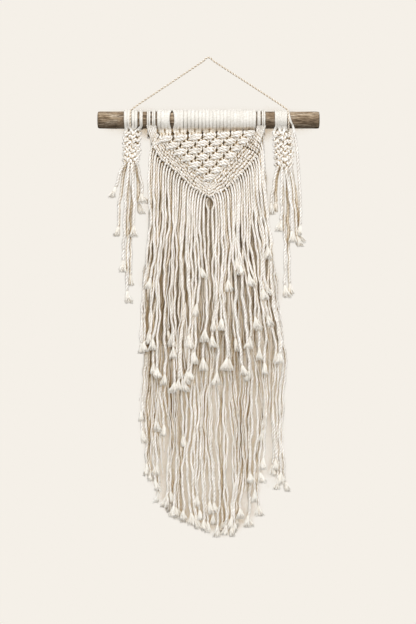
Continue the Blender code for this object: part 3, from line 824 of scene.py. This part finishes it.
def lark_head(left_x, right_x, left_run, right_run):
    """A rope doubled over the rod, with a loop behind it, its two legs going on along two runs."""
    legs = []
    for x, inward in ((left_x, 1), (right_x, -1)):
        leg = [(round_rod(x, degrees), 1.0) for degrees in range(-120, 165, 12)]
        leg.append(((x + inward * 0.9 * MM, NET_Y + 7 * MM, -ROD_DROP - 19.8 * MM), 1.05))
        legs.append(leg)
    middle = (left_x + right_x) / 2
    dip = (right_x - left_x) / 4
    loop = []
    for across, down in ((-1, -136), (-0.55, -143), (0, -145), (0.55, -143), (1, -136)):
        x, y, z = round_rod(middle + across * dip * 2, down)
        loop.append(((x, y + 1.2 * MM, z), 1.0))
    return left_run[::-1] + legs[0][::-1] + loop + legs[1] + right_run


rope_x = panel_rope_places()
net_paths = []
for pair in range(0, len(rope_x), 2):
    net_paths.append(smooth(lark_head(rope_x[pair], rope_x[pair + 1], net_rope(pair), net_rope(pair + 1))))
net = sweep("net_ropes", net_paths, rope_section, ROPE_RADIUS, ROPE_LAY, pressed(3.6 * MM))
dress(net, cotton, "cotton_rope", "knotted_panel")

# %% [markdown]
# ## The V of hitched bars
#
# Six leading cords run down each side of the net to the tip. Each rope that comes out of the net is
# tied to every leading cord in turn with a double half hitch, which is a turn and a half round it, and
# then hangs free. So one path makes six little coils and goes on as a strand of the fringe. Round the
# leader, the path is a helix: inward and outward in the plane of the V, and to the front and the back.
# No two hitches are drawn equally tight, so each has its own thickness, depth and place.

# %% The V's outline
# mm to the right of the nail, and mm up from it
V_OUTER = (
    (-102, -155.5), (-85, -184.5), (-60, -204.5), (-28, -235), (2, -251.5),
    (32, -236.5), (64.5, -204.5), (87, -178), (94.5, -148),
)
V_INNER = (
    (-95.5, -142.5), (-79, -164.3), (-53.5, -184.9), (-19.2, -214.4), (2, -232.3),
    (19.6, -215), (43.5, -189.4), (66, -165.4), (87.5, -138),
)
V_HITCHES = 24  # on each side
V_ROWS = 6
V_ROW_PART = 0.235  # one row's share of the V's width
V_SAMPLES = 321


def v_point(share, inward):
    """A point of the V: share 0 to 1 from its left top round the tip, inward 0 to 1 from its outer edge."""
    place = share * (len(V_OUTER) - 1)
    low = min(int(place), len(V_OUTER) - 2)
    outer = Vector(V_OUTER[low]).lerp(Vector(V_OUTER[low + 1]), place - low)
    inner = Vector(V_INNER[low]).lerp(Vector(V_INNER[low + 1]), place - low)
    return outer.lerp(inner, inward) * MM


def v_places():
    """Where along the V each rope is hitched: half by even width and half by even length."""
    shares = np.linspace(0, 1, V_SAMPLES)
    line = np.array([v_point(share, 0) for share in shares])
    steps = np.diff(line, axis=0)
    grown = np.concatenate([[0], np.cumsum(np.abs(steps[:, 0]) + 0.6 * np.linalg.norm(steps, axis=1))])
    tip = grown[V_SAMPLES // 2]
    evenly = (np.arange(V_HITCHES) + 0.5) / V_HITCHES
    want = np.concatenate([tip * evenly, tip + (grown[-1] - tip) * evenly])
    return np.interp(want, grown, shares)


V_PLACES = v_places()
print(2 * V_HITCHES, "ropes, each hitched to", V_ROWS, "leaders")

# %% Hitches
HITCH_TURNS = 1.5
HITCH_STEPS = 14
HITCH_SLANT = 0.6  # how far a hitch goes on along its leader, as a share of the space between two ropes
HITCH_ROPE = 0.72  # the rope's thickness where it is drawn tight round a leader
HITCH_IN_PLANE = 1.3 * MM
HITCH_IN_DEPTH = 2.8 * MM


def hitches(share, width, draw):
    """A rope's turns round the leading cords, from the innermost to the outermost."""
    points = []
    side = 1 if share < 0.5 else -1
    for row in range(V_ROWS):
        inward = (V_ROWS - row - 0.5) * V_ROW_PART + draw.uniform(-0.055, 0.055)
        thick = HITCH_ROPE * draw.uniform(0.85, 1.2)
        deep = HITCH_IN_DEPTH * draw.uniform(0.8, 1.2)
        shift = draw.uniform(-0.12, 0.12)
        for step in range(HITCH_STEPS + 1):
            done = step / HITCH_STEPS
            turn = 2 * math.pi * HITCH_TURNS * done
            along = min(1, max(0, share + side * width * ((done - 0.5) * HITCH_SLANT + shift)))
            x, z = v_point(along, inward)
            edge_x, edge_z = v_point(along, 0)
            away = Vector((edge_x - x, edge_z - z)).normalized() * (-HITCH_IN_PLANE * math.cos(turn))
            points.append(((x + away.x, NET_Y - deep * math.sin(turn), z + away.y), thick))
    return points


print("a hitch goes", HITCH_TURNS, "times round its leader")

# %% [markdown]
# ## Strands
#
# A strand hangs under its own weight and yet is never straight: it keeps the bends of the knot it came
# from, and its own twist makes it wander. Three slow waves carry neighbours sideways together, two more
# sway each strand on its own, and two short ones are its kinks. The strands hang in four rows, one
# behind another, so they pass in front of each other. First each strand gets a plan: where it starts
# and ends, in which row it hangs, and where its waves begin. Its points follow from the plan.

# %% Sizes of the two fringes
FRONT_COUNT = 2 * V_HITCHES
BACK_COUNT = 50
BACK_BAR = ((-105 * MM, -138.0 * MM), (100.5 * MM, -133.6 * MM))  # its two ends
ROW_PART = 0.34  # the rows lie closer together than the solids of the frame
TUFT_LONG = 19 * MM

# How low each fringe hangs, as (x, z) in mm along its hem.
FRONT_HEM = ((-105, -580), (-60, -600), (-44, -612), (0, -585), (40, -585), (80, -566), (105, -556))
BACK_HEM = (
    (-128, -640), (-118, -725), (-109, -762), (-94, -800), (-64, -826), (-30, -842), (-8, -857), (20, -863),
    (53, -857), (89, -835), (97, -805), (104, -752), (118, -752), (122, -778), (145, -778),
)


def between(table, x):
    """The second column of a table of (x, value), read at x along straight lines."""
    for (x0, v0), (x1, v1) in zip(table, table[1:]):
        if x <= x1:
            return v0 + (v1 - v0) * max(0.0, (x - x0) / (x1 - x0))
    return table[-1][1]


print("front strands", FRONT_COUNT, "back strands", BACK_COUNT)

# %% How a strand wanders
DRIFTS = (  # how far sideways, over what distance across the fringe, and over what drop
    (2.6 * MM, 92 * MM, 330 * MM), (1.5 * MM, 47 * MM, -190 * MM), (0.8 * MM, 31 * MM, 120 * MM),
)
WAVES = ((0.9 * MM, 150 * MM), (0.8 * MM, 83 * MM))  # height and length of each sway
KINKS = ((0.7 * MM, 47 * MM), (0.4 * MM, 26 * MM))
SWAY_FROM = 75 * MM  # held by its knot, a strand sways only from about here down
FLARE_LEFT = 18 * MM  # how far the fringe spreads on each side
FLARE_RIGHT = 39 * MM
FLARE_OVER = 480 * MM
BOW_OVER = 9 * MM  # the drop in which a strand has bowed out of its hitch
CLUMP = (26 * MM, 300 * MM)  # strands draw together in bunches of this width, along this drop


def flare(x, drop):
    """How far outward a strand has spread, a given height below its root."""
    most = FLARE_RIGHT if x > 0 else FLARE_LEFT
    return most * x / (100 * MM) * (1 - math.cos(math.pi * min(1, drop / FLARE_OVER))) / 2


def drift(x, drop, seed):
    """How far a strand and its neighbours are carried sideways together."""
    return sum(
        high * math.sin(2 * math.pi * (x / across + drop / down) + 2.1 * number + seed)
        for number, (high, across, down) in enumerate(DRIFTS)
    )


def waves(table, phases, drop):
    """The sum of several waves at one height."""
    return sum(
        high * math.sin(2 * math.pi * drop / length + phase) for (high, length), phase in zip(table, phases)
    )


def strand_point(plan, middle_y, drop):
    """Where a strand is, a given height below its root."""
    grown = 1 - math.exp(-((drop / SWAY_FROM) ** 2))
    bulge = plan["out"] * (1 - math.exp(-drop / BOW_OVER))
    settled = 1 - math.exp(-drop / ROW_SETTLE)
    depth = ROW_AT_ROOT + (ROW_BELOW - ROW_AT_ROOT) * settled
    sway = waves(WAVES, plan["phases"], drop) + drift(plan["x"], drop, 100 * middle_y)
    kinks = waves(KINKS, plan["kinks"], drop)
    out = waves(KINKS, plan["kinks"][::-1], drop)
    lean = plan["lean"] * drop / (plan["z"] - plan["end"])
    sway += plan["clump"] * math.sin(2 * math.pi * (plan["x"] / CLUMP[0] + drop / CLUMP[1]))
    x = plan["x"] + bulge + flare(plan["x"], drop) + lean + grown * (sway + kinks)
    return x, middle_y + ROW_PART * plan["row"] * depth + 0.8 * grown * out, plan["z"] - drop


print("the fringe spreads", FLARE_LEFT / MM, "mm to the left and", FLARE_RIGHT / MM, "mm to the right")

# %% A plan for every strand


def plan_strand(draw, x, z, out, row, end):
    """What is particular to one strand of a fringe: its root, its row, its end and its sway."""
    phases = [draw.uniform(0, 2 * math.pi) for _ in WAVES]
    lean = draw.choice((0, 0, 0, -1, 1)) * draw.uniform(2, 7) * MM
    return {
        "x": x, "z": z, "out": out, "row": row, "end": end, "phases": phases, "lean": lean, "clump": 0,
    }


def add_kinks(plans, seed):
    """Gives every strand its small bends and its own thickness."""
    draw = random.Random(seed)
    for plan in plans:
        plan["kinks"] = [draw.uniform(0, 2 * math.pi) for _ in KINKS]
        plan["thick"] = draw.uniform(0.92, 1.17)
    return plans


def front_plans():
    """The strands from the V, of which many end well above the hem."""
    draw = random.Random(11)
    plans = []
    for index in range(FRONT_COUNT):
        side = -1 if index < V_HITCHES else 1
        x, z = v_point(V_PLACES[index], 0.0)
        out = 5.0 * MM * min(1, abs(x) / (6 * MM))
        lift = draw.choice((draw.uniform(0, 70), draw.uniform(0, 90), draw.uniform(60, 210))) * MM
        end = between(FRONT_HEM, x / MM) * MM + lift
        row = -1 if lift > 90 * MM else draw.choice((0, 1, 2)) if index % 2 else draw.choice((-1, 0, 0))
        plans.append(plan_strand(draw, x, z, side * out, row, end))
    return add_kinks(plans, 12)


def back_plans():
    """The strands from the bar behind, longer and more even."""
    draw = random.Random(29)
    plans = []
    for index in range(BACK_COUNT):
        x, z = Vector(BACK_BAR[0]).lerp(Vector(BACK_BAR[1]), (index + 0.5) / BACK_COUNT)
        lifts = (0, 6, 12, 20) if 27 < index < 37 or index > 43 else (0, 0, 6, 18, 40, 75, 130)
        lift = draw.choice(lifts) * MM
        end = between(BACK_HEM, (x + flare(x, FLARE_OVER)) / MM) * MM + lift
        row = -1 if lift > 30 * MM else draw.choice((0, 1, 2)) if index % 2 else draw.choice((-1, 0, 0))
        plans.append(plan_strand(draw, x, z, 0, row, end))
        plans[-1]["clump"] = 1.5 * MM  # how far the back strands draw together in bunches
    return add_kinks(plans, 30)


print("longest strand ends", round(-1000 * min(plan["end"] for plan in back_plans())), "mm below the nail")

# %% Strands and loose plies
ROOT_THIN = 0.3
ROOT_TIGHT = 22 * MM


def strand_run(plan, middle_y, first):
    """The free part of a strand as points, from a first height down to its tuft."""
    last = plan["z"] - plan["end"] - TUFT_LONG + 3 * MM
    drops = np.linspace(first, last, max(4, round((last - first) / (6 * MM))))
    # Pulled tight out of its knot, a rope is thinner at its root.
    points = [
        (strand_point(plan, middle_y, drop), plan["thick"] * (1 - ROOT_THIN * math.exp(-drop / ROOT_TIGHT)))
        for drop in drops
    ]
    points[-1] = (points[-1][0], 0.8)
    return points


def loose_plies(plans, middle_y, count, seed):
    """Single plies that have come away from their strands and wander over the others."""
    draw = random.Random(seed)
    paths = []
    for _ in range(count):
        plan = dict(draw.choice(plans))
        plan["phases"] = [phase + 1.5 for phase in plan["phases"]]
        plan["lean"] = draw.uniform(-14, 14) * MM
        long = plan["z"] - plan["end"]
        drops = np.arange(draw.uniform(0.3, 0.7) * long, draw.uniform(0.8, 0.97) * long, 7 * MM)
        points = []
        for drop in drops:
            x, y, z = strand_point(plan, middle_y, drop)
            points.append(((x, y - 3.5 * MM, z), 0.42))
        if len(points) > 4:
            paths.append(smooth(points, step=3 * MM))
    return paths


print("a strand is", ROOT_THIN, "thinner at its root")

# %% [markdown]
# ## Combed ends
#
# The plies are left to open at the end of each strand, and are combed into a small brush. A brush is a
# few dozen yarns that start inside the rope and lean outwards, more to the sides than to the front.

# %% Brushes
YARNS = 80
YARN_RADIUS = 0.75 * MM
BRUSH_ROOT = 1.9 * MM  # how far out the yarns start
BRUSH_WIDE = 7.2 * MM  # and how far out they end, to the sides and to the front
BRUSH_DEEP = 3.6 * MM


def brush(path, draw):
    """The yarns of one frayed end, as paths that go on from the end of a rope's path."""
    end = Vector(path[-1, :3])
    way = (end - Vector(path[-6, :3])).normalized()
    spread = draw.uniform(0.8, 1.4)
    lean = draw.uniform(-4, 4) * MM
    whole = TUFT_LONG * draw.uniform(0.85, 1.15)
    yarns = []
    for _ in range(YARNS):
        turn, reach = draw.uniform(0, 2 * math.pi), draw.random() ** 0.5
        across, out = reach * math.cos(turn), reach * math.sin(turn)
        long = whole * draw.uniform(0.72, 1.05)
        curl = draw.uniform(-1.0, 1.0) * MM
        points = []
        for share in (-0.3, 0.0, 0.25, 0.5, 0.75, 1.0, 1.03):
            open_by = max(0, share) ** 1.1
            x = across * (BRUSH_ROOT + (BRUSH_WIDE * spread - BRUSH_ROOT) * open_by)
            x += lean * max(0, share) ** 2
            y = out * (BRUSH_ROOT + (BRUSH_DEEP * spread - BRUSH_ROOT) * open_by)
            place = end + way * (long * share) + Vector((x + curl * math.sin(6 * share), y, 0))
            points.append((*place, 1.0 if share < 0.9 else 0.8))
        yarns.append(np.array(points))
    return yarns


def brushes(name, paths, seed):
    """One piece of all the brushes at the ends of some ropes."""
    draw = random.Random(seed)
    yarns = [yarn for path in paths for yarn in brush(path, draw)]
    return sweep(name, yarns, yarn_section, YARN_RADIUS, 1.0)


print("yarns in a brush:", YARNS)

# %% [markdown]
# ## The front fringe
#
# Now the parts come together. Each rope of the V is one path: its six hitches, then its strand. Under
# the tip the two middle strands bow apart like a wishbone. The leading cords come off the rod beside
# the net, and each is laid round the whole V through the middles of its hitches. Some plies have come
# away from their ropes: they are thin ropes of their own, which borrow the path of a strand.

# %% Front fringe
LEADER_TOPS = (  # mm, where each leader comes off the rod at the left and at the right
    (-95.4, 88), (-97, 89.2), (-100, 92), (-103.2, 94.8), (-106.2, 97.6), (-109.4, 100.8),
)
WISHBONE = 4.2 * MM  # the two middle strands bow apart under the tip
WISHBONE_LONG = 24 * MM

draw = random.Random(17)
widths = np.gradient(V_PLACES)
front_paths = []
for index, plan in enumerate(front_plans()):
    points = hitches(V_PLACES[index], widths[index], draw)
    x, z = v_point(V_PLACES[index], 0)
    run = strand_run(plan, NET_Y, 4 * MM)
    if index in (V_HITCHES - 1, V_HITCHES):
        side = -1 if index < V_HITCHES else 1
        for place, (spot, thick) in enumerate(run):
            drop = min(1, (plan["z"] - spot[2]) / WISHBONE_LONG)
            bow = side * (WISHBONE * math.sin(math.pi * drop) - 1.2 * MM * drop)
            run[place] = ((spot[0] + bow, spot[1], spot[2]), thick)
    points += [((x, NET_Y + plan["row"] * ROW_AT_ROOT, z), 0.85), *run]
    front_paths.append(smooth(points))
front_paths += loose_plies(front_plans(), NET_Y, 12, 21)
front = sweep("front_strands", front_paths, rope_section, ROPE_RADIUS, ROPE_LAY)
dress(front, cotton, "cotton_rope", "front_fringe")
front_brushes = brushes("front_brushes", front_paths[:FRONT_COUNT], 41)
dress(front_brushes, combed, "cotton_rope", "front_fringe")

# %% Leading cords
leader_paths = []
for row in range(V_ROWS):
    inward = (V_ROWS - row - 0.5) * V_ROW_PART
    line = [((x, NET_Y, z), 0.45) for x, z in (v_point(share, inward) for share in np.linspace(0, 1, 25))]
    tops = [[(round_rod(x * MM, turn), 0.8) for turn in (128, 138)] for x in LEADER_TOPS[row]]
    leader_paths.append(smooth(tops[0] + line + tops[1][::-1]))
leaders = sweep("leading_cords", leader_paths, rope_section, ROPE_RADIUS, ROPE_LAY)
dress(leaders, cotton, "cotton_rope", "front_fringe")

# %% [markdown]
# ## The fringe behind
#
# A second, longer fringe hangs behind the net from a bar, which is a cord lashed to the rod at both
# ends. A maker ties each strand to it in a lark's head. That is hidden, so here a strand just goes over
# the bar. Only the lower half of this fringe shows, under the front one.

# %% Back strands
BACK_BAR_RADIUS = 2.2 * MM


def bar_height(x):
    """The height of the back bar at a place along it."""
    (x0, z0), (x1, z1) = BACK_BAR
    return z0 + (z1 - z0) * (x - x0) / (x1 - x0)


def over_bar(x):
    """A strand's way over the bar: up behind it, over the top and down in front."""
    reach = BACK_BAR_RADIUS + 0.55 * ROPE_RADIUS
    points = []
    for degrees in range(150, -91, -30):
        turn = math.radians(degrees)
        y = BACK_Y + reach * math.sin(turn) * 0.9
        points.append(((x, y, bar_height(x) + reach * math.cos(turn)), 0.8))
    return points


back_paths = []
for plan in back_plans():
    points = over_bar(plan["x"]) + strand_run(plan, BACK_Y, 12 * MM)
    back_paths.append(smooth(points))
half = len(back_paths) // 2
plies = loose_plies(back_plans(), BACK_Y, 34, 22)
for name, some, more, seed in (
    ("left", back_paths[:half], plies[::2], 43), ("right", back_paths[half:], plies[1::2], 44),
):
    piece = sweep(f"back_strands_{name}", some + more, rope_section, ROPE_RADIUS, ROPE_LAY)
    dress(piece, cotton, "cotton_rope", "back_fringe")
    ends = brushes(f"back_brushes_{name}", some, seed)
    dress(ends, combed, "cotton_rope", "back_fringe")

# %% [markdown]
# ## The bar and its lashings
#
# The bar is a rope of its own. At each end four loops hold it to the rod, in pairs. They are what one
# sees to the left and right of the net's wraps, with the wood between them. A loop goes round the rod
# and the bar together, so on the wood it is pressed flat like the other wraps.

# %% Bar and lashings
LASHINGS = ((-110.8, -104.4), (-101.6, -95.4), (88.0, 93.4), (95.8, 102.2))  # mm, the edges of each pair
LASH_REACH = 4.2 * MM  # from the bar's middle to the middle of the loop under it


def lashing(x):
    """A rope's loop round the rod and the bar, from the bar up behind the rod and down in front."""
    points = []
    bottom = bar_height(x)
    for degrees in (-60, -20, 20, 60):
        turn = math.radians(degrees)
        y = BACK_Y + LASH_REACH * math.sin(turn)
        points.append(((x, y, bottom - LASH_REACH * math.cos(turn)), 0.85))
    for degrees in range(-145, 156, 15):
        points.append((round_rod(x, degrees), 1.0))
    points.append(((x, BACK_Y - 7 * MM, bottom + 4 * MM), 0.9))
    points.append(((x, BACK_Y - 4.4 * MM, bottom - 1 * MM), 0.85))
    return points


lash_paths = []
for left, right in LASHINGS:
    quarter = (right - left) / 4 * MM
    middle = (left + right) / 2 * MM
    for side in (-1, 1):
        lash_paths.append(smooth(lashing(middle + side * quarter)))
(x0, z0), (x1, z1) = BACK_BAR
bar_points = [
    ((x0 + (x1 - x0) * share, BACK_Y, z0 + (z1 - z0) * share), 0.95) for share in np.linspace(0, 1, 9)
]
lash_paths.append(smooth(bar_points))
lashes = sweep("back_bar_and_lashings", lash_paths, rope_section, ROPE_RADIUS, ROPE_LAY, pressed(1.6 * MM))
dress(lashes, cotton, "cotton_rope", "back_fringe")

# %% [markdown]
# ## Side tassels
#
# Each end of the rod carries eight ropes in a flat plait, two fingers wide, and the eight then hang as
# loose tails. In such a plait every rope goes to and fro across the strip, over one rope and under the
# next. So all eight take the same zigzag, each an eighth of a turn behind the one before. A hand
# doesn't plait evenly, so the ropes run a little early or late, and vary in thickness. The tails of a
# tassel that has hung for a while are bent and unequal, and each is given its own place to hang in.

# %% Sizes of the tassels
TASSEL_Y = -6.0 * MM
TASSEL_ROPES = 8
# mm to the right of the nail, left and right edge of each pair of wraps, and their thickness
LEFT_WRAPS = ((-151.8, -140.8, 1.0), (-138.4, -127.8, 1.0), (-123.8, -118.6, 0.5))
RIGHT_WRAPS = ((119.6, 126.8, 0.7), (126.8, 134.0, 0.7), (134.0, 141.0, 0.7))
# Down the strip: share of its length, middle and half width in mm.
LEFT_STRIP = ((0.0, -135.6, 14), (0.2, -137.6, 15.2), (0.6, -138.8, 15.4), (1.0, -140.5, 13.8))
RIGHT_STRIP = ((0.0, 131.6, 14.3), (0.2, 133.8, 16.8), (0.6, 134.6, 17.2), (1.0, 135.4, 16))
# Tails: x halfway, x at the end, z at the end, row.
LEFT_TAILS = (
    (-165.0, -169.5, -250, 0), (-160.0, -164.0, -321, 1), (-153.0, -153.5, -383, -1),
    (-146.0, -146.5, -437, 0), (-140.5, -141.0, -408, 1), (-134.5, -133.5, -320, -1),
    (-123.5, -127.0, -279, 1), (-117.5, -120.5, -262, 0),
)
RIGHT_TAILS = (
    (113.0, 113.5, -279, 0), (120.0, 121.0, -277, 1), (130.0, 130.5, -310, -1), (138.0, 138.5, -427, 0),
    (144.5, 145.5, -424, 1), (150.0, 151.5, -330, -1), (156.0, 159.0, -338, 0), (160.0, 164.5, -333, 1),
)
# A ninth rope on the right is not plaited. It leaves the rod in front and hangs beside the strip.
BESIDE_ON_ROD = ((143.6, -165), (143.6, -60), (143.6, 45), (144.5, 75), (147, 100), (150, 122), (153, 140))
BESIDE_BELOW = (
    (156.4, -8, -146), (160, -7.4, -172), (162, -7, -196), (164.6, -6.6, -238), (166.2, -6.6, -280),
    (165, -6.6, -302),
)
print("tails", len(LEFT_TAILS), "and", len(RIGHT_TAILS))

# %% Plait
PLAIT_TURNS = 0.75  # how often a rope goes across the strip and back
PLAIT_DEEP = 3.4 * MM
PLAIT_TOP = -131.5 * MM
PLAIT_STEPS = 32
SLACK = 0.03  # of a turn, how early or late a rope runs


def plait(rope, strip, long):
    """One rope's zigzag down a flat plait, over one rope and under the next."""
    shares, middles, halves = zip(*strip)
    points = []
    for share in np.linspace(0, 1, PLAIT_STEPS + 1):
        slack = SLACK * math.sin(10 * share + 2 * rope)
        thick = 1.24 + 0.16 * math.sin(11 * share + rope)
        turn = ((rope + 0.5) / TASSEL_ROPES + PLAIT_TURNS * share + slack) % 1
        across = 1 - 4 * abs(turn - 0.5)
        going = max(-1, min(1, 2.2 * math.sin(2 * math.pi * turn)))
        deep = PLAIT_DEEP * going * math.cos(2 * math.pi * TASSEL_ROPES * turn)
        x = (np.interp(share, shares, middles) + np.interp(share, shares, halves) * across) * MM
        points.append(((x, TASSEL_Y - deep, PLAIT_TOP - share * long), thick))
    return points


print("in the plait a rope goes across and back", PLAIT_TURNS, "times")

# %% Tails
TAIL_ROPE = 1.2


def tail_run(tail, root, seed):
    """The free part of a tail: bowed from its root to the place it hangs in."""
    x_half, x_end, z_end, row = tail
    x_root, z_root = root[0] / MM, root[2] / MM
    draw = random.Random(seed)
    phase = draw.uniform(0, 2 * math.pi)
    kinks = [draw.uniform(0, 2 * math.pi) for _ in KINKS]
    long = (z_root - z_end) * MM
    last = 1 - (TUFT_LONG - 3 * MM) / long
    points = []
    for share in np.linspace(0.06, last, max(4, round(long / (7 * MM)))):
        bow = 1 - (1 - share) ** 2.2
        x = x_root + (x_half - x_root) * bow + (x_end - x_half) * share
        x += 0.9 * math.sin(9 * share + phase) * share
        y = TASSEL_Y / MM + row * (2.5 + 3.4 * min(1, 4 * share))
        bend = waves(KINKS, kinks, share * long) * min(1, 3 * share)
        points.append(((x * MM + bend, y * MM, z_root * MM - share * long), TAIL_ROPE))
    return points


def tassel_paths(wraps, strip, long, tails):
    """The eight ropes of one tassel, from behind the rod to the ends of the tails."""
    on_rod = []
    for left, right, thick in wraps:
        quarter = (right - left) / 4
        on_rod += [((left + quarter) * MM, thick), ((right - quarter) * MM, thick)]
    on_rod = [on_rod[place] for place in (0, 1, 1, 2, 3, 4, 4, 5)]
    plaits = [plait(rope, strip, long) for rope in range(TASSEL_ROPES)]
    starts = sorted(range(TASSEL_ROPES), key=lambda rope: plaits[rope][1][0][0])
    ends = sorted(range(TASSEL_ROPES), key=lambda rope: 2 * plaits[rope][-1][0][0] - plaits[rope][-2][0][0])
    paths = []
    for rope, way in enumerate(plaits):
        x, thick = on_rod[starts.index(rope)]
        points = [(round_rod(x, degrees), thick) for degrees in range(-165, 136, 12)]
        tail = tails[ends.index(rope)]
        paths.append(smooth(points + way + tail_run(tail, way[-1][0], 60 + rope)))
    return paths


print("a tail is", round(2 * TAIL_ROPE * ROPE_RADIUS / MM, 1), "mm thick")

# %% Both tassels


def rope_beside():
    """The ninth rope of the right tassel, round the rod and down beside the strip."""
    turns = []
    for (x0, low), (x1, high) in zip(BESIDE_ON_ROD, BESIDE_ON_ROD[1:]):
        for share in np.linspace(0, 1, max(2, round((high - low) / 12)), endpoint=False):
            turns.append((round_rod((x0 + (x1 - x0) * share) * MM, low + (high - low) * share), 0.8))
    below = [((x * MM, y * MM, z * MM), 1.1) for x, y, z in BESIDE_BELOW]
    return smooth(turns + below)


for side, wraps, strip, long, tails in (
    ("left", LEFT_WRAPS, LEFT_STRIP, 58 * MM, LEFT_TAILS),
    ("right", RIGHT_WRAPS, RIGHT_STRIP, 66 * MM, RIGHT_TAILS),
):
    paths = tassel_paths(wraps, strip, long, tails)
    if side == "right":
        paths.append(rope_beside())
    piece = sweep(f"{side}_tassel_ropes", paths, rope_section, ROPE_RADIUS, ROPE_LAY, pressed(2.95 * MM))
    dress(piece, cotton, "cotton_rope", f"{side}_tassel")
    ends = brushes(f"{side}_tassel_brushes", paths, 50)
    dress(ends, combed, "cotton_rope", f"{side}_tassel")

# %% [markdown]
# ## Clearing up
#
# The swept sections were only tools, so they go.

# %% Finish
for tool in (rope_section, yarn_section, cord_section):
    bpy.data.objects.remove(tool)
